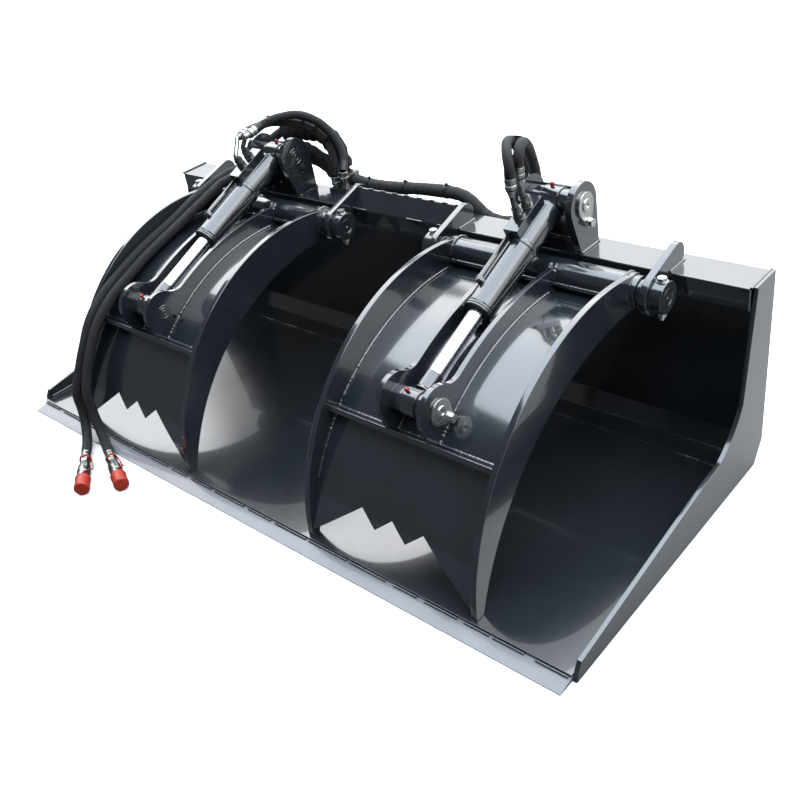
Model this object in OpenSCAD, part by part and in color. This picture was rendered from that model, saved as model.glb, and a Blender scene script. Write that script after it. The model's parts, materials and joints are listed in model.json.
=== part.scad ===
// Grapple bucket for a compact loader. Drawn in millimetres with X across the bucket,
// Y from the cutting edge back to the mounting plate and Z up from the ground.
// Inside the modules Y is counted from the tip of the cutting edge, and seat() moves
// each piece so that the origin lies under the middle of the whole bucket.

/* [Bucket] */
// Width over the two side plates
bucket_w = 1830; // [1500:10:2200]
// Depth from the cutting edge tip to the back of the back sheet
bucket_d = 805; // [700:5:950]
// Height of the side plates
side_h = 462; // [400:2:560]
// Thickness of a side plate
side_t = 10; // [6:1:16]
// Distance from the edge tip to the nose of a side plate
nose_y = 39; // [20:1:60]
// Thickness of the cutting edge bar
edge_t = 10; // [8:1:20]
// Depth of the cutting edge bar
edge_d = 110; // [90:5:200]
// Depth of the long bevel on the cutting edge
edge_bevel = 34; // [20:1:60]
// Height of the blunt tip of the cutting edge
edge_land = 1.5; // [0.5:0.5:4]
// Thickness of the floor sheet
floor_t = 6; // [4:1:12]
// Distance from the edge tip to the front of the floor sheet
floor_y = 38; // [36:1:80]
// Thickness of the bent back sheet
back_t = 6; // [4:1:12]
// Depth of the flat foot of the back sheet, up to the first bend
foot_d = 65; // [40:1:120]
// Run of the heel chamfer
heel_y = 34; // [20:1:80]
// Rise of the heel chamfer
heel_z = 40; // [20:1:80]
// Backward lean of the back sheet over its height
back_lean = 9; // [0:1:30]

/* [Rail] */
// Depth of the top rail tube
rail_d = 93; // [70:1:120]
// Height of the top rail tube
rail_h = 50; // [40:1:80]
// Wall of the top rail tube
rail_t = 6; // [4:1:10]
// Drop of the rail below the top of the side plates
rail_drop = 2; // [0:1:10]
// Rise of the rib between the grapples above the rail
rib_h = 44; // [30:1:60]
// Backward run of the leaning rib plate
rib_run = 34; // [20:1:50]
// Thickness of the rib plates
rib_t = 5; // [3:1:8]
// Width of a wear bar under the floor
wear_w = 80; // [50:5:120]
// Distance of the inner wear bars from the middle
wear_x1 = 250; // [150:10:350]
// Distance of the outer wear bars' middles from the outer face of the side plates
wear_side = 175; // [110:5:250]

/* [Mounting plate] */
// Width of the mounting plate
plate_w = 1130; // [1000:5:1200]
// Thickness of the mounting plate
plate_t = 8; // [6:1:12]
// Height of the mounting plate's flat face
plate_h = 355; // [320:5:370]
// Height of the lower ledge above the ground
ledge_z = 40; // [30:1:60]
// Depth of the lower ledge behind the plate
ledge_d = 67; // [50:1:90]
// Length of each leg of the inclined top lip
lip_l = 42; // [30:1:60]
// Pitch of the two locking slots
slot_pitch = 810; // [760:5:860]
// End to end length of a locking slot
slot_l = 70; // [50:1:80]
// Width of a locking slot
slot_w = 27; // [20:1:32]
// Thickness of the rear ribs
gusset_t = 8; // [6:1:12]

/* [Grapples] */
// Distance of each grapple's middle from the outer face of its side plate
grapple_side = 463.3; // [440:0.1:480]
// Distance of the hinge axis in front of the back sheet's rear face
hinge_back = 149; // [145:1:165]
// Drop of the hinge axis below the top of the rail
hinge_drop = 23.6; // [20:0.1:30]
// Half width over the two arms
arm_out = 236; // [200:1:250]
// Thickness of an arm plate
arm_t = 14; // [8:1:20]
// Radius of the arm's outer curve
arm_r = 495; // [485:1:500]
// Radius of the arm's round end at the hinge
arm_end_r = 37; // [36:1:42]
// Thickness of the face sheet
skin_t = 6; // [4:1:10]
// Height of the notches in the sheet's toothed lower edge
notch_z = 131; // [110:1:150]
// Height of the two middle teeth
tooth_z = 99; // [80:1:105]
// Height of the sheet's corners beside the arms
corner_z = 34; // [24:1:60]
// Pitch of the three notches
notch_pitch = 84; // [60:1:100]
// Clear height of the closed arm tips over the floor sheet
tip_gap = 0.6; // [0.4:0.1:3]
// Outer diameter of the hinge tube
tube_od = 70; // [64:1:72]
// Inner face of an ear from the grapple's middle
ear_in = 48; // [44:1:60]
// Thickness of an ear
ear_t = 12; // [8:1:16]
// Radius of the ear's round end
ear_end_r = 55; // [48:1:60]
// Radius of the hollow between the ear's back and its round end
ear_fillet = 45; // [20:1:80]
// Thickness of the cross bar
cross_t = 12; // [8:1:20]
// Distance of the cross bar's front edge inside the arm's outer curve
cross_in = 19; // [12:1:25]
// Direction of the cross bar about the arm's centre
cross_a = 141; // [139:0.5:143]

/* [Hinge fittings] */
// Diameter of the hinge shaft
shaft_d = 40; // [34:1:44]
// Outer diameter of a hinge bush
bush_od = 50; // [46:1:52]
// Length of a hinge bush
bush_l = 66; // [40:1:90]
// Radial running clearance of a bush on its shaft
run_gap = 0.05; // [0.01:0.01:0.1]
// Radial clearance of fixed round fits
fit_gap = 0.02; // [0.01:0.01:0.1]
// Length of the arm's hinge boss
arm_boss_l = 14; // [8:1:20]
// Outer diameter of the arm's hinge boss
arm_boss_od = 66; // [58:1:70]
// Length of the bracket's boss
bracket_boss_l = 16; // [8:1:24]
// Outer diameter of the bracket's boss
bracket_boss_od = 56; // [50:1:62]
// Side clearance between a turning piece and its neighbour
side_gap = 0.5; // [0.3:0.1:2]
// Thickness of a hinge bracket
bracket_t = 16; // [10:1:20]
// Radius of a bracket round the hinge
bracket_r = 44; // [40:1:50]
// Radius of a bracket's rear corner
bracket_rear_r = 27; // [20:1:32]
// Length of a locking collar
collar_l = 28; // [22:1:36]
// Outer diameter of a locking collar
collar_od = 70; // [60:1:76]
// Diameter of the small bolts
bolt_d = 12; // [8:1:14]

/* [Towers] */
// Distance of the cylinder's base pin in front of the back sheet's rear face
base_back = 72.5; // [67:0.5:77]
// Rise of the cylinder's base pin above the top of the rail
base_rise = 107.4; // [100:0.1:114]
// Inner face of a tower plate from the grapple's middle
tower_in = 58; // [54:1:80]
// Thickness of a tower plate
tower_t = 16; // [10:1:20]
// Radius of a tower plate round the pin
tower_r = 50; // [44:1:54]
// Distance of the front of a tower's foot in front of the back sheet's rear face
tower_foot_back = 89; // [83:1:92]
// Depth of a tower's foot
tower_foot_d = 70; // [60:1:80]
// Thickness of the plate across the back of a tower
tower_back_t = 8; // [6:1:12]
// Height of the plate across the back of a tower
tower_back_h = 124; // [100:1:130]

/* [Cylinders] */
// Distance of the rod pin in front of the hinge axis
rod_reach = 442; // [438:0.5:446]
// Drop of the rod pin below the hinge axis
rod_drop = 88; // [84:0.1:92]
// Outer diameter of the barrel
barrel_od = 66; // [60:1:68]
// Bore of the barrel
barrel_bore_d = 50; // [44:1:54]
// Distance from the base pin to the open end of the barrel
barrel_l = 316; // [300:1:325]
// Distance from the base pin to the barrel's closed end
barrel_start = 29.5; // [29:0.5:30.5]
// Thickness of the barrel's closed end
barrel_cap = 14; // [8:1:24]
// Outer diameter of the gland ring
gland_od = 69; // [66:1:70]
// Length of the gland ring that shows
gland_l = 12; // [8:1:20]
// Length of the gland's spigot in the barrel
spigot_l = 34; // [20:1:50]
// Diameter of the rod
rod_d = 36; // [30:1:40]
// Length of the painted sleeve by the rod eye
sleeve_l = 42; // [30:1:60]
// Outer diameter of the painted sleeve
sleeve_od = 39; // [36:1:44]
// Length of the piston
piston_l = 30; // [20:1:40]
// Distance from the base pin to the piston at rest
piston_s = 175; // [166:1:210]
// Outer diameter of both eyes
eye_od = 62; // [60:1:66]
// Width of the rod eye
rod_eye_w = 40; // [34:1:46]
// Width of the base eye
base_eye_w = 45; // [40:1:56]
// Diameter of the neck between the base eye and the barrel
neck_d = 44; // [36:1:44]
// Diameter of both cylinder pins
pin_d = 30; // [26:1:34]
// Radius of the rod eye's bore
rod_eye_r = 26; // [25:0.5:27]
// Outer diameter of the spacers beside the eyes
spacer_od = 56; // [50:1:60]
// Thickness of a pin flag
flag_t = 6; // [4:1:8]
// Radius of a pin flag round its pin
flag_r = 29; // [24:1:34]
// Radius of a pin flag round its bolt
flag_end_r = 11; // [10:0.5:11]

/* [Port block and hoses] */
// Distance from the base pin to the upper end of the port block
block_s = 42; // [38:1:60]
// Length of the port block
block_l = 105; // [80:1:120]
// Width of the port block
block_w = 36; // [30:1:44]
// Height of the port block over the barrel
block_h = 24; // [20:1:34]
// Sideways shift of the port block from the barrel's axis
block_x = -7; // [-10:1:0]
// Diameter of the steel pipe on the barrel
pipe_d = 11; // [8:1:14]
// Distance of the pipe's lower boss from the barrel's open end
pipe_end_back = 48; // [30:1:80]
// Sideways place of the pipe
pipe_x = -17.5; // [-20:0.5:-12]
// Height of the pipe over the barrel's axis
pipe_h = 37.6; // [36:0.1:42]
// Diameter of the pipe's lower boss
pipe_boss_d = 18; // [14:1:24]
// Distance from the base pin to the rear port
port_rear_s = 75; // [66:1:80]
// Distance from the base pin to the front port
port_front_s = 108; // [104:1:130]
// Width over the flats' corners of a hose nut
adapter_d = 26; // [20:1:30]
// Height of a hose nut on the port block
adapter_l = 30; // [20:1:34]
// Diameter of a bent hose elbow
elbow_d = 13; // [10:1:16]
// Rise of a bent hose elbow
elbow_rise = 32; // [24:1:40]
// Diameter of the short cylinder hoses in their sleeves
hose_d = 23; // [18:1:26]
// Diameter of the long supply hoses in their sleeves
supply_d = 27; // [20:1:30]
// Diameter of the sleeved bundle behind the rail
bundle_d = 34; // [28:1:40]
// Diameter of a crimped hose end
ferrule_d = 26; // [22:1:30]
// Length of a crimped hose end
ferrule_l = 34; // [24:1:44]
// Diameter of a quick coupler
coupler_d = 34; // [30:1:40]
// Length of a quick coupler with its adapter
coupler_l = 144; // [110:1:160]
// Outer diameter of a dust cap
cap_d = 40; // [36:1:46]
// Length of a dust cap
cap_l = 44; // [30:1:60]
// Depth of a coupler in its dust cap
cap_lap = 26; // [16:1:30]
// Distance of the left hose manifold from its grapple's middle
manifold_off = 161.7; // [152:0.1:170]
// Width of the left hose manifold
manifold_w = 56; // [50:1:64]
// Depth of the left hose manifold
manifold_d = 40; // [38:1:46]
// Height of the left hose manifold
manifold_h = 44; // [40:1:50]
// Distance of the right hose manifold from its grapple's middle
tee_off = 121.7; // [116:0.1:126]
// Width of the right hose manifold
tee_w = 70; // [66:1:80]
// Depth of the right hose manifold
tee_d = 36; // [36:1:44]
// Height of the right hose manifold
tee_h = 38; // [36:1:44]
// Height of the right hose manifold over the rail
tee_rise = 10; // [4:1:14]

/* [Hidden] */
paint = [0.16, 0.19, 0.24];
dark = [0.10, 0.11, 0.13];
zinc = [0.78, 0.78, 0.74];
chrome = [0.86, 0.87, 0.88];
sleeve = [0.07, 0.07, 0.07];
orange = [0.91, 0.27, 0.12];
// Overrun of a cutting tool
cut = 1;
// Sides of a swept hose
hose_n = 10;
// Gap between a hose and a fitting that moves away from it
hose_gap = 0.3;
$fn = 96;

// Whole size, used to set the origin under the middle
total_d = bucket_d + plate_t + ledge_d;
inner_w = bucket_w - 2 * side_t;
floor_z = edge_t + floor_t;
rail_z = side_h - rail_drop;
rail_y = bucket_d - rail_d;
grapple_x = bucket_w / 2 - grapple_side;
left = -grapple_x;
right = grapple_x;
wear_x2 = bucket_w / 2 - wear_side;
hinge_y = bucket_d - hinge_back;
hinge_z = rail_z - hinge_drop;
base_y = bucket_d - base_back;
base_z = rail_z + base_rise;
tower_foot_y = bucket_d - tower_foot_back;
rod_y = hinge_y - rod_reach;
rod_z = hinge_z - rod_drop;
pipe_end_s = barrel_l - pipe_end_back;
manifold_x = left + manifold_off;
tee_x = right - tee_off;
hinge = [hinge_y, hinge_z];
base_pin = [base_y, base_z];
rod_pin = [rod_y, rod_z];

// Front edge of a side plate as shares of the bucket's depth and the plate's height
side_front_shares = [[0.901, 0.985], [0.851, 0.448], [0.831, 0.394], [0.800, 0.333],
    [0.760, 0.279], [0.730, 0.255], [0.639, 0.240], [0.071, 0.087], [0.058, 0.050]];

// Radii of the grapple's curves as shares of the arm's outer radius: the arm's inner curve,
// the face sheet's outer surface and the ear's back
arm_in_share = 1.16566;
skin_share = 1.08687;
ear_share = 1.38384;
arm_in_r = arm_in_share * arm_r;
skin_r = skin_share * arm_r;
ear_r = ear_share * arm_r;
cross_r = arm_r - cross_in;
// Centres of the curves, counted forward and down from the hinge, as shares of the same radius
arm_c_shares = [0.23434, 0.90182];
arm_in_c_shares = [0.09091, 1.24525];
skin_c_shares = [0.18384, 1.12404];
ear_c_shares = [0.11313, 1.32606];
arm_c = hinge - arm_r * arm_c_shares;
arm_in_c = hinge - arm_r * arm_in_c_shares;
skin_c = hinge - arm_r * skin_c_shares;
ear_c = hinge - arm_r * ear_c_shares;
skin_half = arm_out - arm_t;
ear_half = ear_in + ear_t;
tower_half = tower_in + tower_t;

// Pin flags: reach from the pin to the bolt, and the bolt's direction at either pin
flag_l = 43;
rod_flag_l = 35;
rod_flag_a = -49;
tower_flag_a = -78;
pin_proud = 3;
head_h = 8;
head_d = 21;
nut_h = 10;
bolt_end = 8;

function unit(v) = v / norm(v);
function polar(c, r, a) = c + r * [cos(a), sin(a)];
// Corner of a sheet's inner face at a bend between directions a1 and a2
function bend_in(p, a1, a2, t) =
    p + t * [-sin((a1 + a2) / 2), cos((a1 + a2) / 2)] / cos((a2 - a1) / 2);
// Meeting point of two circles, on the left of the line from the first to the second
function meet(c1, r1, c2, r2) =
    let (d = norm(c2 - c1), a = (r1 * r1 - r2 * r2 + d * d) / (2 * d),
         h = sqrt(r1 * r1 - a * a), u = (c2 - c1) / d)
    c1 + a * u + h * [-u[1], u[0]];

// Direction of the cylinder from its base pin to its rod pin, and the direction up from it
stroke_line = rod_pin - base_pin;
pin_gap = norm(stroke_line);
stroke_dir = unit(stroke_line);
cyl_up = [stroke_dir[1], -stroke_dir[0]];
cyl_a = atan2(-stroke_line[0], stroke_line[1]);
eye_r = eye_od / 2;
port_top = barrel_od / 2 + block_h;
// A point beside a cylinder: sideways, up from its axis and along it
function cyl_point(cx, x, n, s) =
    let (q = base_pin + n * cyl_up + s * stroke_dir) [cx + x, q[0], q[1]];

// Bent elbows on the port block, as shares of their rise, and the way their hoses leave
front_left_shares = [-0.5, 1.1, 1.27];
rear_left_shares = [0.35, 0.33, 1];
right_elbow_shares = [0, -0.22, 1];
knee_share = 1.25;
front_left_dir = unit([-0.1, 1, 0.12]);
rear_left_dir = unit([0.1, 1, 0.22]);
up = [0, 0, 1];
function elbow_foot(cx, s) = cyl_point(cx, block_x, port_top + adapter_l, s);
function elbow_top(cx, s, shares) = elbow_foot(cx, s) + elbow_rise * shares;
function hose_start(cx, s, shares, dir) = elbow_top(cx, s, shares) + (ferrule_l + hose_gap) * dir;

// Hose ends on the two manifolds
foot_t = 8;
post_h = 18;
left_tee_a = [manifold_x - manifold_w * 0.18, bucket_d - ferrule_d * 0.62, rail_z + foot_t];
left_tee_b = [manifold_x + manifold_w * 0.46, left_tee_a[1], left_tee_a[2] + post_h];
tee_top = rail_z + tee_rise;
right_tee_a = [tee_x - tee_w * 0.25, bucket_d + tee_d * 0.4, tee_top];
right_tee_b = [tee_x + tee_w * 0.22, right_tee_a[1], tee_top];

// Middle points of the hose routes, chosen by hand
left_front_route = [[-470, 700, 653], [-447, 730, 656], [-411, 764, 648], [-368, 794, 627],
    [-334, 810, 590], [-309, 805, 545]];
left_rear_route = [[-436, 700, 665], [-417, 737, 671], [-384, 780, 666], [-340, 808, 639],
    [-304, 820, 594], [-278, 812, 553]];
right_front_route = [[444, 593, 690], [437, 600, 706], [424, 616, 718], [409, 638, 721],
    [394, 664, 717], [379, 696, 704], [364, 730, 680], [350, 763, 648], [337, 792, 612],
    [324, 812, 574], [316, 820, 540]];
right_rear_route = [[445, 624, 700], [441, 635, 713], [431, 656, 718], [418, 684, 710],
    [404, 713, 693], [391, 741, 666], [379, 766, 633], [368, 788, 596], [356, 807, 552]];
rail_route = [[-225, 825, 477], [-194, 825, 476], [-114, 825, 480], [-37, 825, 488],
    [37, 825, 493], [90, 825, 494], [124, 825, 488], [150, 824, 473], [172, 823, 456],
    [196, 823, 445], [222, 823, 441], [248, 823, 442], [272, 823, 447]];
supply_rear_a = [[-345, 823, 502], [-385, 824, 520], [-430, 823, 536], [-485, 818, 545],
    [-540, 806, 538], [-588, 780, 521], [-625, 732, 507], [-645, 686, 500], [-653, 640.4, 492.1]];
supply_rear_b = [[-305, 836, 538], [-321, 840, 577], [-355, 841, 609], [-408, 838, 622],
    [-462, 830, 616], [-514, 818, 596], [-550, 792, 570], [-572, 750, 537], [-598, 692, 506],
    [-621, 640.4, 492.1]];
supply_front_a = [[-653, 640, 492], [-657, 560, 470], [-658, 467, 440], [-659, 361, 410],
    [-659, 282, 380], [-659, 205, 344], [-658, 145, 300], [-656, 98, 240], [-655, 60, 182],
    [-653, 30, 128], [-646, 23, 82], [-623, 6, 45], [-590, -19, 24], [-568, -36, 20],
    [-544, -54, 20]];
supply_front_b = [[-621, 640, 492], [-627, 560, 464], [-630, 467, 434], [-632, 361, 401],
    [-632, 282, 370], [-631, 205, 336], [-628, 145, 292], [-624, 98, 236], [-619, 60, 178],
    [-611, 36, 128], [-602, 30, 82], [-575, 19, 45], [-537, 3, 24], [-512, -8, 20],
    [-484, -20, 20]];
supply_lap_a = unit([-0.1, -1, -0.14]);
supply_lap_b = unit([-0.1, -1, -0.16]);
coupler_dir_a = [0.8, -0.6, 0];
coupler_dir_b = unit([0.92, -0.39, 0]);

// Moves a piece drawn from the edge tip into the whole bucket's own frame
module seat() translate([0, -total_d / 2, 0]) children();
// A plate between two X places from an outline drawn in Y and Z
module slab(x0, x1) translate([x0, 0, 0]) rotate([90, 0, 90]) linear_extrude(x1 - x0) children();
// A round bar along X through a point given in Y and Z
module bar_x(p, x0, x1, d) slab(x0, x1) translate(p) circle(d / 2);
// A round ring along X
module ring_x(p, x0, x1, d, bore) slab(x0, x1) translate(p) difference() {
    circle(d / 2);
    circle(bore / 2);
}
// A round bar between two points
module bar(a, b, d) {
    v = b - a;
    translate(a) rotate([0, acos(v[2] / norm(v)), atan2(v[1], v[0])]) cylinder(h = norm(v), d = d);
}
// Outline of two rounds joined by their outer tangents
module link(p1, r1, p2, r2) {
    a = atan2(p2[1] - p1[1], p2[0] - p1[0]);
    b = acos((r1 - r2) / norm(p2 - p1));
    translate(p1) circle(r1);
    translate(p2) circle(r2);
    polygon([polar(p1, r1, a + b), polar(p1, r1, a - b),
        polar(p2, r2, a - b), polar(p2, r2, a + b)]);
}
// Both sides of a grapple
module both(cx) for (s = [-1, 1]) translate([cx, 0, 0]) mirror([s < 0 ? 1 : 0, 0, 0]) children();
// The cylinder's own frame: Z runs from the base pin to the rod pin and Y points up
module on_cylinder(cx) translate([cx, base_y, base_z]) rotate([cyl_a, 0, 0]) children();
// A round bar across a cylinder, at a distance along it
module cross_bar(s, d, w) translate([-w / 2, 0, s]) rotate([0, 90, 0]) cylinder(h = w, d = d);

// A hose swept along points, with each ring turned as little as possible from the last
function across(v, side) = unit(side - (side * v) * v);
function sides(dirs, side, i = 0) = i == len(dirs) ? [] :
    let (t = across(dirs[i], side)) concat([t], sides(dirs, t, i + 1));
function headings(p, first, last) = [for (i = [0 : len(p) - 1])
    i == 0 ? first : i == len(p) - 1 ? last : unit(p[i + 1] - p[i - 1])];
module hose(p, first, last, d, n = hose_n) {
    dirs = headings(p, first, last);
    t = sides(dirs, across(dirs[0], unit([0.3, 0.5, 0.8])));
    m = len(p);
    skin_points = [for (i = [0 : m - 1], j = [0 : n - 1])
        p[i] + d / 2 * (cos(360 * j / n) * t[i] + sin(360 * j / n) * cross(dirs[i], t[i]))];
    walls = [for (i = [0 : m - 2], j = [0 : n - 1], h = [0, 1]) h == 0 ?
        [i * n + j, (i + 1) * n + j, (i + 1) * n + (j + 1) % n] :
        [i * n + j, (i + 1) * n + (j + 1) % n, i * n + (j + 1) % n]];
    first_end = [for (j = [1 : n - 2]) [0, j, j + 1]];
    last_end = [for (j = [1 : n - 2]) [(m - 1) * n, (m - 1) * n + j + 1, (m - 1) * n + j]];
    polyhedron(points = skin_points, faces = concat(walls, first_end, last_end));
}
// Adds points between those of a route on a smooth curve through them
function between(a, b, c, e, t) = 0.5 * (2 * b + (c - a) * t + (2 * a - 5 * b + 4 * c - e) * t * t
    + (3 * b - a - 3 * c + e) * t * t * t);
function smooth(p, n = 3) = concat([for (i = [0 : len(p) - 2], k = [0 : n - 1])
    between(p[max(i - 1, 0)], p[i], p[i + 1], p[min(i + 2, len(p) - 1)], k / n)],
    [p[len(p) - 1]]);

// Bucket shell
foot_y0 = bucket_d - back_lean - heel_y - foot_d;
heel_p1 = [foot_y0 + foot_d, edge_t];
heel_p2 = heel_p1 + [heel_y, heel_z];
back_top = [bucket_d, rail_z - rail_h];
heel_a = atan2(heel_z, heel_y);
back_a = atan2(back_top[1] - heel_p2[1], back_top[0] - heel_p2[0]);

module floor_sheet() seat() color(paint)
    slab(-inner_w / 2, inner_w / 2)
        translate([floor_y, edge_t]) square([foot_y0 - floor_y, floor_t]);

module back_sheet() seat() color(paint)
    slab(-inner_w / 2, inner_w / 2) polygon([
        [foot_y0, edge_t], heel_p1, heel_p2, back_top,
        back_top - [back_t, 0],
        bend_in(heel_p2, heel_a, back_a, back_t),
        bend_in(heel_p1, 0, heel_a, back_t),
        [foot_y0, edge_t + back_t]]);

module cutting_edge() seat() color(paint)
    slab(-inner_w / 2, inner_w / 2) polygon([
        [0, 0], [0, edge_land], [edge_bevel, edge_t], [edge_d, edge_t], [edge_d, 0]]);

module side_outline() polygon(concat(
    [[nose_y, 0], [heel_p1[0], 0], heel_p2, back_top, [bucket_d, side_h],
        [rail_y + rail_t, side_h]],
    [for (q = side_front_shares) [q[0] * bucket_d, q[1] * side_h]]));
module side_plate_left() seat() color(paint) slab(-bucket_w / 2, -inner_w / 2) side_outline();
module side_plate_right() seat() color(paint) slab(inner_w / 2, bucket_w / 2) side_outline();

module top_rail() seat() color(paint)
    slab(-inner_w / 2, inner_w / 2) translate([rail_y, rail_z - rail_h]) difference() {
        square([rail_d, rail_h]);
        translate([rail_t, rail_t]) square([rail_d - 2 * rail_t, rail_h - 2 * rail_t]);
    }

// Leaning plate and its back, between the two inner hinge brackets
bracket_x0 = arm_out + arm_boss_l + side_gap + bracket_boss_l;
bracket_x1 = bracket_x0 + bracket_t;
rib_half = grapple_x - bracket_x1;
module centre_rib() seat() color(paint)
    slab(-rib_half, rib_half) translate([rail_y, rail_z])
        polygon([[0, 0], [rib_run, rib_h], [rib_run + rib_t, rib_h], [rib_run + rib_t, 0],
            [rib_run, 0], [rib_run, rib_h - rib_t], [rib_t, 0]]);

module wear_bars() seat() color(paint)
    for (x = [-wear_x2, -wear_x1, wear_x1, wear_x2])
        translate([x - wear_w / 2, edge_d, 0])
            cube([wear_w, foot_y0 + foot_d - edge_d, edge_t]);

// Mounting plate with its top lip, slotted lower ledge and end webs
lip_a = 45;
lip_end = lip_l * [cos(lip_a), sin(lip_a)];
plate_top = [bucket_d, ledge_z + plate_h];
plate_rear = plate_top + [plate_t, 0];
ledge_end = [bucket_d + plate_t + ledge_d, ledge_z];
module plate_side() {
    translate([bucket_d, ledge_z]) square([plate_t, plate_h]);
    polygon([plate_top, plate_rear, plate_rear + lip_end, plate_top + lip_end]);
    translate([bucket_d, ledge_z]) square([plate_t + ledge_d, plate_t]);
}
module slot_2d() {
    for (s = [-1, 1]) translate([s * (slot_l - slot_w) / 2, 0]) circle(slot_w / 2);
    square([slot_l - slot_w, slot_w], center = true);
}
module mounting_plate() seat() color(paint) {
    difference() {
        slab(-plate_w / 2, plate_w / 2) plate_side();
        for (s = [-1, 1])
            translate([s * slot_pitch / 2, bucket_d + plate_t + ledge_d / 2, ledge_z - cut])
                linear_extrude(plate_t + 2 * cut) slot_2d();
    }
    for (s = [-1, 1]) {
        x = s * (plate_w - plate_t) / 2;
        slab(x - plate_t / 2, x + plate_t / 2)
            polygon([plate_rear + lip_end, ledge_end + [0, plate_t], ledge_end,
                [bucket_d + plate_t, ledge_z], plate_rear]);
    }
}

// Rear ribs beside the mounting plate, and packing strips between it and the sloping sheet
rib_x_shares = [0.36, 0.72];
strip_x_shares = [-0.95, -0.45, 0, 0.45, 0.95];
module rear_gussets() seat() color(paint) {
    for (s = [-1, 1], q = rib_x_shares) {
        x = s * (plate_w / 2 + q * (bucket_w - plate_w) / 2);
        slab(x - gusset_t / 2, x + gusset_t / 2)
            polygon([heel_p2, heel_p2 + [ledge_d / 2, plate_h / 2],
                [bucket_d + ledge_d / 2, rail_z - rail_h], [bucket_d, rail_z], back_top]);
    }
    for (q = strip_x_shares) {
        x = q * (plate_w - gusset_t) / 2;
        slab(x - gusset_t / 2, x + gusset_t / 2)
            polygon([heel_p2, [bucket_d, heel_p2[1]], back_top]);
    }
}

// Hinge brackets on the rail, with a boss on the side towards the arm
bracket_rear = [rail_y + rail_d * 0.41, rail_z + bracket_rear_r * 0.85];
module bracket_outline() difference() {
    link(hinge, bracket_r, bracket_rear, bracket_rear_r);
    translate([rail_y, rail_z - rail_h]) square([rail_d, rail_h]);
    translate(hinge) circle(shaft_d / 2 + fit_gap);
}
module hinge_brackets() seat() color(paint) for (cx = [left, right]) both(cx) {
    slab(bracket_x0, bracket_x1) bracket_outline();
    ring_x(hinge, bracket_x0 - bracket_boss_l, bracket_x0, bracket_boss_od,
        shaft_d + 2 * fit_gap);
}

// Locking collars, each drilled across for its bolt
collar_x = bracket_x1 + collar_l / 2;
module collar_hole() translate([collar_x, hinge_y, hinge_z - collar_od])
    cylinder(h = 2 * collar_od, d = bolt_d + 2 * fit_gap);
module hinge_collars() seat() color(paint) for (cx = [left, right]) both(cx) difference() {
    ring_x(hinge, bracket_x1, bracket_x1 + collar_l, collar_od, shaft_d + 2 * fit_gap);
    collar_hole();
}
module hinge_shafts() seat() color(dark) for (cx = [left, right]) difference() {
    bar_x(hinge, cx - bracket_x1 - collar_l, cx + bracket_x1 + collar_l, shaft_d);
    both(cx) collar_hole();
}
module collar_bolts() seat() color(zinc) for (cx = [left, right]) both(cx)
    translate([collar_x, hinge_y, hinge_z]) {
        translate([0, 0, -collar_od / 2 - nut_h - bolt_end])
            cylinder(h = collar_od + nut_h + bolt_end, d = bolt_d);
        translate([0, 0, collar_od / 2]) cylinder(h = head_h, d = head_d, $fn = 6);
        translate([0, 0, -collar_od / 2 - nut_h]) cylinder(h = nut_h, d = head_d, $fn = 6);
    }

// Cylinder towers on the rail
tower_foot = [tower_foot_y, rail_z];
tower_heel = tower_foot + [tower_foot_d, 0];
tower_flag_p = polar(base_pin, flag_l, tower_flag_a);
function touch(c, r, p, s) =
    polar(c, r, atan2(p[1] - c[1], p[0] - c[0]) + s * acos(r / norm(p - c)));
module tower_outline() difference() {
    union() {
        translate(base_pin) circle(tower_r);
        polygon([tower_foot, tower_heel, touch(base_pin, tower_r, tower_heel, 1), base_pin,
            touch(base_pin, tower_r, tower_foot, -1)]);
    }
    translate(base_pin) circle(pin_d / 2 + fit_gap);
    translate(tower_flag_p) circle(bolt_d / 2 + fit_gap);
}
module tower_plates() seat() color(paint) for (cx = [left, right]) both(cx)
    slab(tower_in, tower_half) tower_outline();
module tower_back_plates() seat() color(paint) for (cx = [left, right])
    slab(cx - tower_in, cx + tower_in)
        translate([base_y + tower_r - tower_back_t, rail_z])
            square([tower_back_t, tower_back_h]);
module tower_spacers() seat() color(paint) for (cx = [left, right]) both(cx)
    ring_x(base_pin, base_eye_w / 2 + side_gap, tower_in, spacer_od, pin_d + 2 * fit_gap);

// A cylinder pin, longer on the side that carries its flag
module cylinder_pin(cx, p, half, side) translate([cx, 0, 0]) mirror([side < 0 ? 1 : 0, 0, 0])
    bar_x(p, -half, half + flag_t + pin_proud, pin_d);
// Flag plate and its bolt, on the outside of a plate of thickness t
module pin_flag(cx, p, half, t, q, side) translate([cx, 0, 0]) mirror([side < 0 ? 1 : 0, 0, 0]) {
    slab(half, half + flag_t) difference() {
        link(p, flag_r, q, flag_end_r);
        translate(p) circle(pin_d / 2 + fit_gap);
    }
    bar_x(q, half - t, half, bolt_d);
    slab(half + flag_t, half + flag_t + head_h) translate(q) circle(head_d / 2, $fn = 6);
}
module tower_pins() seat() color(dark) {
    cylinder_pin(left, base_pin, tower_half, -1);
    cylinder_pin(right, base_pin, tower_half, 1);
}
module tower_pin_flags() seat() color(zinc) {
    pin_flag(left, base_pin, tower_half, tower_t, tower_flag_p, -1);
    pin_flag(right, base_pin, tower_half, tower_t, tower_flag_p, 1);
}

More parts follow.
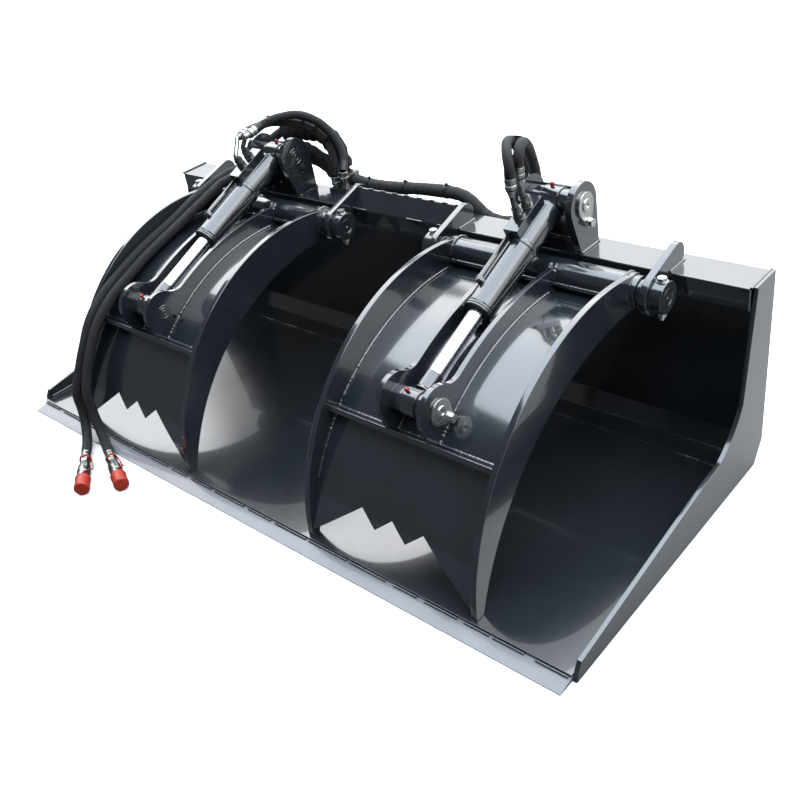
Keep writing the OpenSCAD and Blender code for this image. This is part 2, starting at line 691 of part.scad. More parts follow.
// Grapple pieces, drawn about a grapple's middle
module arm_outline() {
    intersection() {
        difference() {
            translate(arm_c) circle(arm_r);
            translate(arm_in_c) circle(arm_in_r);
        }
        translate([0, floor_z + tip_gap]) square([hinge_y, hinge_z + arm_end_r]);
    }
    translate(hinge) circle(arm_end_r);
}
module arms(cx) both(cx) difference() {
    union() {
        slab(skin_half, arm_out) arm_outline();
        bar_x(hinge, arm_out, arm_out + arm_boss_l, arm_boss_od);
    }
    bar_x(hinge, skin_half - cut, arm_out + arm_boss_l + cut, bush_od + 2 * fit_gap);
}
module skin(cx) translate([cx, 0, 0]) difference() {
    slab(-skin_half, skin_half) difference() {
        intersection() {
            translate(skin_c) circle(skin_r);
            square([hinge_y, hinge_z]);
        }
        translate(skin_c) circle(skin_r - skin_t);
        translate(hinge) circle(tube_od / 2);
    }
    translate([0, hinge_y, 0]) rotate([90, 0, 0]) linear_extrude(hinge_y) polygon([
        [-skin_half - cut, -cut], [-skin_half - cut, corner_z],
        [-notch_pitch, notch_z], [-notch_pitch / 2, tooth_z], [0, notch_z],
        [notch_pitch / 2, tooth_z], [notch_pitch, notch_z],
        [skin_half + cut, corner_z], [skin_half + cut, -cut]]);
}
cross_p = polar(arm_c, cross_r, cross_a);
module cross_outline() difference() {
    translate(arm_c) rotate(cross_a) translate([arm_r * 0.8, -cross_t / 2])
        square([cross_r - arm_r * 0.8, cross_t]);
    translate(skin_c) circle(skin_r);
}
rod_flag_p = polar(rod_pin, rod_flag_l, rod_flag_a);
ear_foot_a = 190;
ear_toe_a = 133.4;
ear_heel_a = 120;
module ear_outline() {
    hollow = meet(rod_pin, ear_end_r + ear_fillet, ear_c, ear_r + ear_fillet);
    hollow_a = atan2(hollow[1] - ear_c[1], hollow[0] - ear_c[0]);
    toe = polar(cross_p, cross_t / 2, cross_a - 90);
    difference() {
        union() {
            intersection() {
                translate(ear_c) circle(ear_r);
                translate(rod_pin - [0, ear_end_r])
                    square([hinge_y - rod_y, hinge_z - rod_z + 2 * ear_end_r]);
            }
            translate(rod_pin) circle(ear_end_r);
            polygon([rod_pin, hollow, polar(ear_c, ear_r, hollow_a)]);
            polygon([rod_pin, polar(rod_pin, ear_end_r, ear_foot_a), toe,
                polar(skin_c, skin_r - skin_t, ear_toe_a),
                polar(skin_c, skin_r - skin_t, ear_heel_a)]);
        }
        translate(hollow) circle(ear_fillet);
        translate(skin_c) circle(skin_r);
        translate(hinge) circle(tube_od / 2);
        cross_outline();
        translate(rod_pin) circle(pin_d / 2 + fit_gap);
        translate(rod_flag_p) circle(bolt_d / 2 + fit_gap);
    }
}
module ears(cx) both(cx) {
    slab(ear_in, ear_half) ear_outline();
    ring_x(rod_pin, rod_eye_w / 2 + side_gap, ear_in, spacer_od, pin_d + 2 * fit_gap);
}
module crossbar(cx) slab(cx - skin_half, cx + skin_half) cross_outline();
module hinge_tube(cx)
    ring_x(hinge, cx - skin_half, cx + skin_half, tube_od, bush_od + 2 * fit_gap);
module hinge_bushes(cx) both(cx)
    ring_x(hinge, arm_out + arm_boss_l - bush_l, arm_out + arm_boss_l, bush_od,
        shaft_d + 2 * run_gap);

module arms_left() seat() color(paint) arms(left);
module arms_right() seat() color(paint) arms(right);
module skin_left() seat() color(paint) skin(left);
module skin_right() seat() color(paint) skin(right);
module ears_left() seat() color(paint) ears(left);
module ears_right() seat() color(paint) ears(right);
module crossbar_left() seat() color(paint) crossbar(left);
module crossbar_right() seat() color(paint) crossbar(right);
module hinge_tube_left() seat() color(paint) hinge_tube(left);
module hinge_tube_right() seat() color(paint) hinge_tube(right);
module hinge_bushes_left() seat() color(dark) hinge_bushes(left);
module hinge_bushes_right() seat() color(dark) hinge_bushes(right);
module rod_pin_left() seat() color(dark) cylinder_pin(left, rod_pin, ear_half, -1);
module rod_pin_right() seat() color(dark) cylinder_pin(right, rod_pin, ear_half, 1);
module rod_pin_flag_left() seat() color(zinc)
    pin_flag(left, rod_pin, ear_half, ear_t, rod_flag_p, -1);
module rod_pin_flag_right() seat() color(zinc)
    pin_flag(right, rod_pin, ear_half, ear_t, rod_flag_p, 1);

// Cylinder pieces, drawn in the cylinder's own frame
module barrel(cx) on_cylinder(cx) difference() {
    translate([0, 0, barrel_start]) cylinder(h = barrel_l - barrel_start, d = barrel_od);
    translate([0, 0, barrel_start + barrel_cap]) cylinder(h = barrel_l, d = barrel_bore_d);
    cross_bar(0, eye_od, base_eye_w);
}
module gland(cx) on_cylinder(cx) difference() {
    union() {
        translate([0, 0, barrel_l]) cylinder(h = gland_l, d = gland_od);
        translate([0, 0, barrel_l - spigot_l])
            cylinder(h = spigot_l, d = barrel_bore_d - 2 * fit_gap);
    }
    cylinder(h = 2 * barrel_l, d = rod_d + 2 * run_gap);
}
module base_eye(cx) on_cylinder(cx) difference() {
    union() {
        cross_bar(0, eye_od, base_eye_w);
        cylinder(h = barrel_start, d = neck_d);
    }
    cross_bar(0, pin_d + 2 * run_gap, 2 * base_eye_w);
}
module port_block(cx) on_cylinder(cx) difference() {
    translate([block_x - block_w / 2, 0, block_s]) cube([block_w, port_top, block_l]);
    cylinder(h = barrel_l, d = barrel_od);
}
module barrel_pipe(cx) on_cylinder(cx) {
    translate([pipe_x, pipe_h, block_s + block_l])
        cylinder(h = pipe_end_s - block_s - block_l, d = pipe_d);
    difference() {
        translate([0, 0, pipe_end_s]) rotate(atan2(pipe_h, pipe_x)) rotate([0, 90, 0])
            cylinder(h = norm([pipe_x, pipe_h]) + pipe_d / 2, d = pipe_boss_d);
        cylinder(h = barrel_l, d = barrel_od);
    }
}
module elbow(cx, s, shares, dir) {
    top = elbow_top(cx, s, shares);
    bar(cyl_point(cx, block_x, port_top, s), elbow_foot(cx, s), adapter_d, $fn = 6);
    bar(elbow_foot(cx, s), top, elbow_d);
    translate(top) sphere(d = elbow_d * knee_share);
    bar(top, top + ferrule_l * dir, ferrule_d);
}
module rod(cx) on_cylinder(cx) difference() {
    union() {
        translate([0, 0, piston_s]) cylinder(h = pin_gap - piston_s, d = rod_d);
        translate([0, 0, piston_s]) cylinder(h = piston_l, d = barrel_bore_d - 2 * run_gap);
    }
    cross_bar(pin_gap, eye_od, 2 * eye_od);
}
module rod_eye(cx) on_cylinder(cx) {
    difference() {
        cross_bar(pin_gap, eye_od, rod_eye_w);
        cross_bar(pin_gap, 2 * rod_eye_r, 2 * rod_eye_w);
    }
    difference() {
        translate([0, 0, pin_gap - eye_r - sleeve_l])
            cylinder(h = eye_r + sleeve_l, d = sleeve_od);
        cylinder(h = 2 * pin_gap, d = rod_d + 2 * fit_gap);
        cross_bar(pin_gap, 2 * rod_eye_r, 2 * rod_eye_w);
    }
}

module barrel_left() seat() color(paint) barrel(left);
module barrel_right() seat() color(paint) barrel(right);
module gland_left() seat() color(dark) gland(left);
module gland_right() seat() color(dark) gland(right);
module base_eye_left() seat() color(paint) base_eye(left);
module base_eye_right() seat() color(paint) base_eye(right);
module port_block_left() seat() color(paint) port_block(left);
module port_block_right() seat() color(paint) port_block(right);
module barrel_pipe_left() seat() color(paint) barrel_pipe(left);
module barrel_pipe_right() seat() color(paint) barrel_pipe(right);
module hose_elbows_left() seat() color(zinc) {
    elbow(left, port_front_s, front_left_shares, front_left_dir);
    elbow(left, port_rear_s, rear_left_shares, rear_left_dir);
}
module hose_elbows_right() seat() color(zinc) {
    elbow(right, port_front_s, right_elbow_shares, up);
    elbow(right, port_rear_s, right_elbow_shares, up);
}
module rod_left() seat() color(chrome) rod(left);
module rod_right() seat() color(chrome) rod(right);
module rod_eye_left() seat() color(paint) rod_eye(left);
module rod_eye_right() seat() color(paint) rod_eye(right);

// Manifolds that join the hoses behind the rail
module hose_tees() seat() color(zinc) {
    translate([manifold_x - manifold_w / 2, bucket_d, rail_z])
        cube([manifold_w, manifold_d, manifold_h]);
    translate([manifold_x - manifold_w / 2, bucket_d - ferrule_d * 1.12, rail_z])
        cube([manifold_w + ferrule_d * 0.62, ferrule_d * 1.12, foot_t]);
    bar(left_tee_a, left_tee_a + ferrule_l * up, ferrule_d);
    bar(left_tee_b - post_h * up, left_tee_b, adapter_d, $fn = 6);
    bar(left_tee_b, left_tee_b + ferrule_l * up, ferrule_d);
    translate([tee_x - tee_w / 2, bucket_d, tee_top - tee_h]) cube([tee_w, tee_d, tee_h]);
    for (p = [right_tee_a, right_tee_b]) bar(p, p + ferrule_l * up, ferrule_d);
}

// Hose from a cylinder's elbow to a manifold
module cylinder_hose(cx, s, shares, dir, route, tee)
    hose(smooth(concat([hose_start(cx, s, shares, dir)], route, [tee + ferrule_l * up]), 2),
        dir, -up, hose_d);
module cylinder_hoses_left() seat() color(sleeve) {
    cylinder_hose(left, port_front_s, front_left_shares, front_left_dir,
        left_front_route, left_tee_a);
    cylinder_hose(left, port_rear_s, rear_left_shares, rear_left_dir,
        left_rear_route, left_tee_b);
}
module cylinder_hoses_right() seat() color(sleeve) {
    cylinder_hose(right, port_front_s, right_elbow_shares, up, right_front_route, right_tee_a);
    cylinder_hose(right, port_rear_s, right_elbow_shares, up, right_rear_route, right_tee_b);
}
manifold_side = [manifold_x, bucket_d + manifold_d / 2, rail_z + manifold_h / 2];
tee_side = [tee_x - tee_w / 2, bucket_d + tee_d / 2, tee_top - tee_h / 2];
module rail_hoses() seat() color(sleeve)
    hose(smooth(concat([manifold_side + [manifold_w / 2, 0, 0]], rail_route, [tee_side]), 2),
        [1, 0, 0], [1, 0, 0], bundle_d);
supply_start_a = manifold_side + [-manifold_w / 2, -manifold_d / 8, manifold_h / 10];
supply_start_b = manifold_side + [-manifold_w / 6, manifold_d / 8, manifold_h / 2];
module supply_hoses_rear() seat() color(sleeve) {
    hose(smooth(concat([supply_start_a], supply_rear_a), 2), [-1, 0, 0], supply_lap_a, supply_d);
    hose(smooth(concat([supply_start_b], supply_rear_b), 2), up, supply_lap_b, supply_d);
}
module supply_hoses_front() seat() color(sleeve) {
    hose(supply_front_a, supply_lap_a, coupler_dir_a, supply_d);
    hose(supply_front_b, supply_lap_b, coupler_dir_b, supply_d);
}

// Quick couplers on the hose ends and their dust caps
end_a = supply_front_a[len(supply_front_a) - 1];
end_b = supply_front_b[len(supply_front_b) - 1];
module coupler(p, dir) {
    bar(p, p + ferrule_l * dir, ferrule_d);
    bar(p + ferrule_l * dir, p + coupler_l * dir, coupler_d);
}
module dust_cap(p, dir) difference() {
    bar(p + (coupler_l - cap_lap) * dir, p + (coupler_l - cap_lap + cap_l) * dir, cap_d);
    bar(p, p + coupler_l * dir, coupler_d + 2 * fit_gap);
}
module quick_couplers() seat() color(zinc) {
    coupler(end_a, coupler_dir_a);
    coupler(end_b, coupler_dir_b);
}
module dust_caps() seat() color(orange) {
    dust_cap(end_a, coupler_dir_a);
    dust_cap(end_b, coupler_dir_b);
}

floor_sheet();
back_sheet();
cutting_edge();
side_plate_left();
side_plate_right();
top_rail();
centre_rib();
wear_bars();
mounting_plate();
rear_gussets();
hinge_brackets();
hinge_collars();
hinge_shafts();
collar_bolts();
tower_plates();
tower_back_plates();
tower_spacers();
tower_pins();
tower_pin_flags();
hose_tees();
rail_hoses();
cylinder_hoses_left();
cylinder_hoses_right();
arms_left();
skin_left();
ears_left();
crossbar_left();
hinge_tube_left();
hinge_bushes_left();
rod_pin_left();
rod_pin_flag_left();
arms_right();
skin_right();
ears_right();
crossbar_right();
hinge_tube_right();
hinge_bushes_right();
rod_pin_right();
rod_pin_flag_right();
barrel_left();
gland_left();
base_eye_left();
port_block_left();
barrel_pipe_left();
hose_elbows_left();
rod_left();
rod_eye_left();
barrel_right();
gland_right();
base_eye_right();
port_block_right();
barrel_pipe_right();
hose_elbows_right();
rod_right();
rod_eye_right();
supply_hoses_rear();
supply_hoses_front();
quick_couplers();
dust_caps();
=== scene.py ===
# Grapple bucket for a compact loader: the finished look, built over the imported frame.
# Lengths are in metres. Routes and outlines are written in millimetres from the tip of the
# cutting edge, as on the drawing, and at() moves them into the frame.
import json
import math
import random

import bmesh
import bpy
from mathutils import Matrix, Vector


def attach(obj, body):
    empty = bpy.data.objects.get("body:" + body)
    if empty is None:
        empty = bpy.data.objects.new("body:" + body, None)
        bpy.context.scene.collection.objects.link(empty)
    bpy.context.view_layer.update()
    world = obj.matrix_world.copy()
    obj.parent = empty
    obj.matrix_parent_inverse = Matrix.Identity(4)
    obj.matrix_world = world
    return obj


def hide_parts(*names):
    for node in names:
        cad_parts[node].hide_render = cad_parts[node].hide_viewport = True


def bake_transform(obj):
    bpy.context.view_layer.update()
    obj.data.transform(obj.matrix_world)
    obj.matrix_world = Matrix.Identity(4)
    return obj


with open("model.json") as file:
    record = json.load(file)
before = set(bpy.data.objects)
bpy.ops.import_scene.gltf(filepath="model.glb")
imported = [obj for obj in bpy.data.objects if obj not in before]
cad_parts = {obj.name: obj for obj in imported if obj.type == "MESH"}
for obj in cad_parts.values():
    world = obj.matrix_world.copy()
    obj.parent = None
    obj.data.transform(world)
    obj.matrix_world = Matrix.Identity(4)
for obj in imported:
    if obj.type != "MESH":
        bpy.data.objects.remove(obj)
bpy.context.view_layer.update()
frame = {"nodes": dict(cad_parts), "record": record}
random.seed(7)
MM = 0.001
HALF_DEPTH = 440                # the frame's origin lies this far behind the edge's tip
LEFT, RIGHT = -451.7, 451.7     # middles of the two grapples
SIDES = (("left", LEFT, -1), ("right", RIGHT, 1))
CORNERS = [(cx, s) for cx in (LEFT, RIGHT) for s in (-1, 1)]


def at(x, y, z):
    """A point of the drawing, in millimetres, as a place in the frame."""
    return Vector((x * MM, (y - HALF_DEPTH) * MM, z * MM))


# ---------------------------------------------------------------- camera
CAMERA_PLACE, CAMERA_LENS = (1567, -870, 1385), 42.39
CAMERA_TURN = (46.92, 33.33, 10.46)


def place_camera():
    """The photograph's camera, turned to the left, tipped down and rolled."""
    yaw, pitch, roll = (math.radians(a) for a in CAMERA_TURN)
    ahead = Vector((-math.sin(yaw) * math.cos(pitch), math.cos(yaw) * math.cos(pitch),
                    -math.sin(pitch)))
    level = Vector((math.cos(yaw), math.sin(yaw), 0))
    below = ahead.cross(level)
    right = math.cos(roll) * level + math.sin(roll) * below
    down = -math.sin(roll) * level + math.cos(roll) * below
    turn = Matrix((right, -down, -ahead)).transposed().to_4x4()
    data = bpy.data.cameras.new("camera")
    data.sensor_fit = "HORIZONTAL"
    data.sensor_width = 36
    data.lens = CAMERA_LENS
    data.clip_start = 0.05
    cam = bpy.data.objects.new("camera", data)
    cam.matrix_world = Matrix.Translation(at(*CAMERA_PLACE)) @ turn
    bpy.context.scene.collection.objects.link(cam)
    bpy.context.scene.camera = cam


place_camera()


# ---------------------------------------------------------------- node groups
def group(name, place, inputs, outputs):
    """An empty node group: one input for the place, then plain numbers in and out."""
    tree = bpy.data.node_groups.new(name, "ShaderNodeTree")
    tree.interface.new_socket(place, in_out="INPUT", socket_type="NodeSocketVector")
    for way, labels in (("INPUT", inputs), ("OUTPUT", outputs)):
        for label in labels:
            tree.interface.new_socket(label, in_out=way, socket_type="NodeSocketFloat")
    return tree, tree.nodes.new("NodeGroupInput").outputs, tree.nodes.new("NodeGroupOutput")


class Wires:
    """Adds and joins nodes in a tree with few words."""

    def __init__(self, tree):
        self.tree = tree

    def put(self, socket, v):
        if isinstance(v, bpy.types.NodeSocket):
            self.tree.links.new(v, socket)
        else:
            socket.default_value = v

    def feed(self, node, **values):
        """Sets or links inputs by name; an underscore stands for a space."""
        for k, v in values.items():
            self.put(node.inputs[k.replace("_", " ")], v)

    def add(self, kind, settings=None, **values):
        n = self.tree.nodes.new("ShaderNode" + kind)
        for k, v in (settings or {}).items():
            setattr(n, k, v)
        self.feed(n, **values)
        return n

    def math(self, op, *values):
        n = self.add("Math", {"operation": op})
        for socket, v in zip(n.inputs, values):
            self.put(socket, v)
        return n.outputs[0]

    def ramp(self, fac, low, high):
        """Black up to low, white from high on."""
        n = self.add("ValToRGB")
        for e, place, v in zip(n.color_ramp.elements, (low, high), (0.0, 1.0)):
            e.position = place
            e.color = (v, v, v, 1)
        self.put(n.inputs[0], fac)
        return n.outputs[0]

    def noise(self, vector, scale, detail, rough):
        return self.add("TexNoise", Vector=vector, Scale=scale, Detail=detail,
                        Roughness=rough).outputs[0]

    def mix(self, fac, a, b):
        n = self.add("Mix", {"data_type": "RGBA"})
        for i, v in ((0, fac), (6, a), (7, b)):
            self.put(n.inputs[i], v)
        return n.outputs[2]


def make_film_group():
    """Sprayed paint: slow flow marks, fine orange peel, a little settled dust."""
    tree, given, out = group("sprayed_film", "Place", ("Peel", "Gloss"),
                             ("Height", "Roughness", "Tone", "Dust"))
    w = Wires(tree)
    place = given["Place"]
    slow = w.noise(place, 9.0, 2.0, 0.45)
    peel = w.noise(place, 420.0, 2.0, 0.5)
    mid = w.noise(place, 46.0, 3.0, 0.55)
    height = w.math("MULTIPLY_ADD", slow, 2.6, w.math("MULTIPLY", peel, given["Peel"]))
    patch = w.math("MULTIPLY_ADD", mid, 0.10, w.math("MULTIPLY", slow, 0.08))
    specks = w.ramp(w.noise(place, 260.0, 2.0, 0.6), 0.60, 0.74)
    clouds = w.ramp(w.noise(place, 7.0, 5.0, 0.65), 0.50, 0.80)
    w.feed(out, Height=w.math("MULTIPLY_ADD", mid, 0.18, height),
           Roughness=w.math("ADD", patch, given["Gloss"]),
           Tone=w.ramp(w.noise(place, 5.0, 4.0, 0.6), 0.35, 0.68),
           Dust=w.math("MULTIPLY", specks, clouds))
    return tree


def make_weave_group():
    """Braided sleeve: strands crossing over and under, laid out in metres along the hose."""
    tree, given, out = group("braided_sleeve", "Lay", ("Strands",), ("Height", "Strand", "Fuzz"))
    w = Wires(tree)
    u, v, _ = w.add("SeparateXYZ", Vector=given["Lay"]).outputs
    a = w.math("MULTIPLY", w.math("ADD", u, v), given["Strands"])
    b = w.math("MULTIPLY", w.math("SUBTRACT", u, v), given["Strands"])
    ra, rb = (w.math("ABSOLUTE", w.math("SINE", w.math("MULTIPLY", k, math.pi))) for k in (a, b))
    turn = w.math("FLOORED_MODULO", w.math("ADD", w.math("FLOOR", a), w.math("FLOOR", b)), 2.0)
    over = w.math("GREATER_THAN", turn, 0.5)
    first = w.math("MULTIPLY", ra, over)
    second = w.math("MULTIPLY", rb, w.math("SUBTRACT", 1.0, over))
    w.feed(out, Height=w.math("ADD", first, second), Strand=over,
           Fuzz=w.noise(given["Lay"], 900.0, 2.0, 0.6))
    return tree


def make_scuff_group():
    """Handling marks on bare or plated metal: fine streaks, cloudy stains and pits."""
    tree, given, out = group("handled_metal", "Place", ("Stretch",), ("Streak", "Stain", "Pit"))
    w = Wires(tree)
    place = given["Place"]
    x, y, z = w.add("SeparateXYZ", Vector=place).outputs
    drawn = w.add("CombineXYZ", X=w.math("MULTIPLY", x, given["Stretch"]), Y=y, Z=z).outputs[0]
    w.feed(out, Streak=w.noise(drawn, 160.0, 3.0, 0.6),
           Stain=w.ramp(w.noise(place, 38.0, 5.0, 0.7), 0.42, 0.66),
           Pit=w.ramp(w.noise(place, 700.0, 2.0, 0.5), 0.3, 0.5))
    return tree


FILM, WEAVE, SCUFF = make_film_group(), make_weave_group(), make_scuff_group()


# ---------------------------------------------------------------- finishes
DUST = (0.36, 0.35, 0.33, 1)


def start_finish(name):
    mat = bpy.data.materials.new(name)
    mat.use_nodes = True
    return mat, Wires(mat.node_tree), mat.node_tree.nodes["Principled BSDF"]


def use_group(w, tree, **values):
    """Adds a group with its inputs set, and gives its outputs."""
    return w.add("Group", {"node_tree": tree}, **values).outputs


def own_place(w):
    return w.add("TexCoord").outputs["Object"]


def bump(w, bsdf, height, strength, distance):
    n = w.add("Bump", Strength=strength, Distance=distance, Height=height)
    w.feed(bsdf, Normal=n.outputs[0])


def paint_finish(name, deep, light, gloss=0.10, dust=0.12, strength=0.10, coat=1.0):
    mat, w, bsdf = start_finish(name)
    film = use_group(w, FILM, Place=own_place(w), Peel=0.12, Gloss=gloss)
    body = w.mix(film["Tone"], (*deep, 1), (*light, 1))
    dusty = w.math("MULTIPLY", film["Dust"], dust)
    w.feed(bsdf, Base_Color=w.mix(dusty, body, DUST), Roughness=film["Roughness"], IOR=1.6,
           Coat_Weight=coat, Coat_Roughness=0.04, Coat_IOR=1.6)
    bump(w, bsdf, film["Height"], strength, 0.0006)
    return mat


def metal_finish(name, clean, stained, rough, stretch=1.0, strength=0.06):
    mat, w, bsdf = start_finish(name)
    marks = use_group(w, SCUFF, Place=own_place(w), Stretch=stretch)
    w.feed(bsdf, Base_Color=w.mix(marks["Stain"], (*clean, 1), (*stained, 1)),
           Roughness=w.math("MULTIPLY_ADD", marks["Streak"], 0.22, rough - 0.11), Metallic=1.0)
    bump(w, bsdf, w.math("ADD", marks["Streak"], marks["Pit"]), strength, 0.0004)
    return mat


def sleeve_finish(name, dark, thread):
    mat, w, bsdf = start_finish(name)
    weave = use_group(w, WEAVE, Lay=w.add("UVMap").outputs[0], Strands=420.0)
    shade = w.math("MULTIPLY_ADD", weave["Strand"], 0.35, w.math("MULTIPLY", weave["Fuzz"], 0.6))
    w.feed(bsdf, Base_Color=w.mix(shade, (*dark, 1), (*thread, 1)),
           Roughness=w.math("MULTIPLY_ADD", weave["Height"], -0.18, 0.62),
           Specular_IOR_Level=0.36, Sheen_Weight=0.02, Sheen_Roughness=0.4)
    bump(w, bsdf, weave["Height"], 0.8, 0.0009)
    return mat


def moulded_finish(name, colour, worn, rough, spread=0.02):
    """Rubber or plastic; spread is the share of light that scatters under its skin."""
    mat, w, bsdf = start_finish(name)
    film = use_group(w, FILM, Place=own_place(w), Peel=0.8, Gloss=rough)
    w.feed(bsdf, Base_Color=w.mix(film["Tone"], (*colour, 1), (*worn, 1)),
           Roughness=film["Roughness"], Subsurface_Weight=spread)
    bump(w, bsdf, film["Height"], 0.08, 0.0005)
    return mat


paint = paint_finish("anthracite_paint", (0.0100, 0.0135, 0.0175), (0.0135, 0.0175, 0.0225))
shell_paint = paint_finish("anthracite_shell", (0.0110, 0.0140, 0.0165), (0.0150, 0.0185, 0.0215),
                           gloss=0.11, dust=0.16)
edge_paint = paint_finish("ground_edge_bar", (0.105, 0.108, 0.120), (0.135, 0.138, 0.150),
                          gloss=0.26, dust=0.10, strength=0.03, coat=0.3)
weld_paint = paint_finish("anthracite_weld", (0.0110, 0.0145, 0.0185), (0.0145, 0.0185, 0.0235),
                          gloss=0.07, strength=0.2)
chrome = metal_finish("hard_chrome", (0.70, 0.72, 0.76), (0.64, 0.67, 0.72), 0.26, stretch=3.0,
                      strength=0.002)
zinc = metal_finish("zinc_plate", (0.60, 0.60, 0.58), (0.40, 0.40, 0.38), 0.28)
steel = metal_finish("turned_steel", (0.42, 0.42, 0.43), (0.30, 0.30, 0.31), 0.34, stretch=20.0)
fitting = metal_finish("plated_fitting", (0.34, 0.34, 0.33), (0.17, 0.17, 0.16), 0.28)
sleeve = sleeve_finish("black_sleeve", (0.0012, 0.0012, 0.0013), (0.0085, 0.0085, 0.0090))
grey_sleeve = sleeve_finish("grey_sleeve", (0.004, 0.004, 0.0042), (0.020, 0.020, 0.021))
rubber = moulded_finish("black_rubber", (0.0030, 0.0030, 0.0032), (0.006, 0.006, 0.0063), 0.42,
                        spread=0.0)
tape = moulded_finish("black_tape", (0.0022, 0.0022, 0.0024), (0.0042, 0.0042, 0.0045), 0.34,
                      spread=0.0)
orange = moulded_finish("orange_red_plastic", (0.34, 0.030, 0.010), (0.28, 0.022, 0.008), 0.34)
red = moulded_finish("red_plastic", (0.26, 0.010, 0.010), (0.20, 0.008, 0.008), 0.34)


# ---------------------------------------------------------------- piece making
BODY_OF = {n: b for b, nodes in frame["record"]["behaviour"]["bodies"].items() for n in nodes}


def piece(name, mesh, body, finish, stands_for=None):
    """Puts a finished mesh on its body; stands_for names the drawing's piece it
    replaces."""
    obj = bpy.data.objects.new(name, mesh)
    bpy.context.scene.collection.objects.link(obj)
    mesh.materials.clear()
    mesh.materials.append(finish)
    if body:
        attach(obj, body)
    if stands_for:
        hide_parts(stands_for)
    return obj


def soften(obj, width, segments=2):
    """Breaks the sharp edges by width, in mm, and keeps the flat faces flat."""
    if width:
        m = obj.modifiers.new("broken_edges", "BEVEL")
        m.width = width * MM
        m.segments = segments
        m.limit_method = "ANGLE"
        m.angle_limit = math.radians(32)
        m.use_clamp_overlap = True
    n = obj.modifiers.new("flat_faces", "WEIGHTED_NORMAL")
    n.keep_sharp = True
    n.weight = 60
    return obj


def from_bmesh(name, bm, sharp=None):
    """A smooth mesh, in which edges sharper than that many degrees stay sharp."""
    for f in bm.faces:
        f.smooth = True
    mesh = bpy.data.meshes.new(name)
    bm.to_mesh(mesh)
    bm.free()
    if "custom_normal" in mesh.attributes:
        mesh.attributes.remove(mesh.attributes["custom_normal"])
    if sharp:
        mesh.set_sharp_from_angle(angle=math.radians(sharp))
    return mesh


def made(name, bm, sharp, body, finish, stands_for=None):
    """A piece from closed forms, with all faces turned outwards."""
    bmesh.ops.recalc_face_normals(bm, faces=bm.faces)
    return piece(name, from_bmesh(name, bm, sharp), body, finish, stands_for)


def plate(node, finish, width, segments=2):
    """The drawing's own piece with its triangles joined into faces and its edges broken."""
    bm = bmesh.new()
    bm.from_mesh(frame["nodes"][node].data)
    bmesh.ops.remove_doubles(bm, verts=bm.verts, dist=2e-5)
    bmesh.ops.dissolve_limit(bm, angle_limit=math.radians(0.4), verts=bm.verts, edges=bm.edges)
    obj = piece("made_" + node, from_bmesh(node, bm), BODY_OF[node], finish, node)
    return soften(obj, width, segments)


def eased(profile, radius):
    """Rounds the corners of a turned profile, in millimetres along and out from the axis."""
    out = []
    pts = [Vector(p) for p in profile]
    for a, p, b in zip(pts[-1:] + pts[:-1], pts, pts[1:] + pts[:1]):
        r = min(radius, (a - p).length * 0.45, (b - p).length * 0.45)
        u, v = (a - p).normalized() * r, (b - p).normalized() * r
        if u.normalized().dot(v.normalized()) < -0.985:
            out.append(p)
        else:
            out += [(1 - t) ** 2 * (p + u) + 2 * t * (1 - t) * p + t * t * (p + v)
                    for t in (0.0, 0.33, 0.67, 1.0)]
    return out


def square_to(axis):
    """The axis as a unit vector, with two more across it."""
    axis = Vector(axis).normalized()
    side = axis.orthogonal().normalized()
    return axis, side, axis.cross(side)


def join_rings(bm, pairs):
    for a, b in pairs:
        for i in range(len(a)):
            q = (i + 1) % len(a)
            bm.faces.new((a[i], a[q], b[q], b[i]))


def turned_into(bm, origin, axis, profile, ease=0.8, seg=64):
    """A turned ring or bar: a closed profile of (along, radius) in mm swept round an axis."""
    axis, side, other = square_to(axis)
    pts = eased(profile, ease)
    rings = []
    for k in range(seg):
        a = 2 * math.pi * k / seg
        d = math.cos(a) * side + math.sin(a) * other
        rings.append([bm.verts.new(origin + (p.x * axis + max(p.y, 0.01) * d) * MM) for p in pts])
    join_rings(bm, zip(rings, rings[1:] + rings[:1]))


def finish_turned(name, bm, body, finish, stands_for=None):
    return soften(made(name, bm, 48, body, finish, stands_for), 0)


def turned_piece(name, body, finish, stands_for, *forms):
    """One piece of turned forms, each with origin, axis, profile, ease and segments."""
    bm = bmesh.new()
    for form in forms:
        turned_into(bm, *form)
    finish_turned(name, bm, body, finish, stands_for)


def ring_profile(s0, s1, r_in, r_out):
    """A plain ring from s0 to s1 along its axis, to be turned."""
    return [(s0, r_in), (s1, r_in), (s1, r_out), (s0, r_out)]


def smooth_route(points, n=6):
    """The curve through given points that the drawing's hoses follow."""
    p = [Vector(q) for q in points]
    out = []
    for i in range(len(p) - 1):
        a, b, c, e = p[max(i - 1, 0)], p[i], p[i + 1], p[min(i + 2, len(p) - 1)]
        for k in range(n):
            t = k / n
            out.append(0.5 * (2 * b + (c - a) * t + (2 * a - 5 * b + 4 * c - e) * t * t
                              + (3 * b - a - 3 * c + e) * t ** 3))
    out.append(p[-1])
    return out


def runs_along(points):
    """How far along the line each point lies."""
    runs = [0.0]
    for a, b in zip(points, points[1:]):
        runs.append(runs[-1] + (b - a).length)
    return runs


def resample(points, steps):
    """The same line cut into equal steps."""
    runs = runs_along(points)
    out, j = [], 0
    for i in range(steps + 1):
        s = runs[-1] * i / steps
        while j < len(runs) - 2 and runs[j + 1] < s:
            j += 1
        t = (s - runs[j]) / max(runs[j + 1] - runs[j], 1e-9)
        out.append(points[j].lerp(points[j + 1], t))
    return out


def fine(points, step=2.5):
    """The same line cut into short steps of about that many mm."""
    return resample(points, int(runs_along(points)[-1] / (step * MM)))


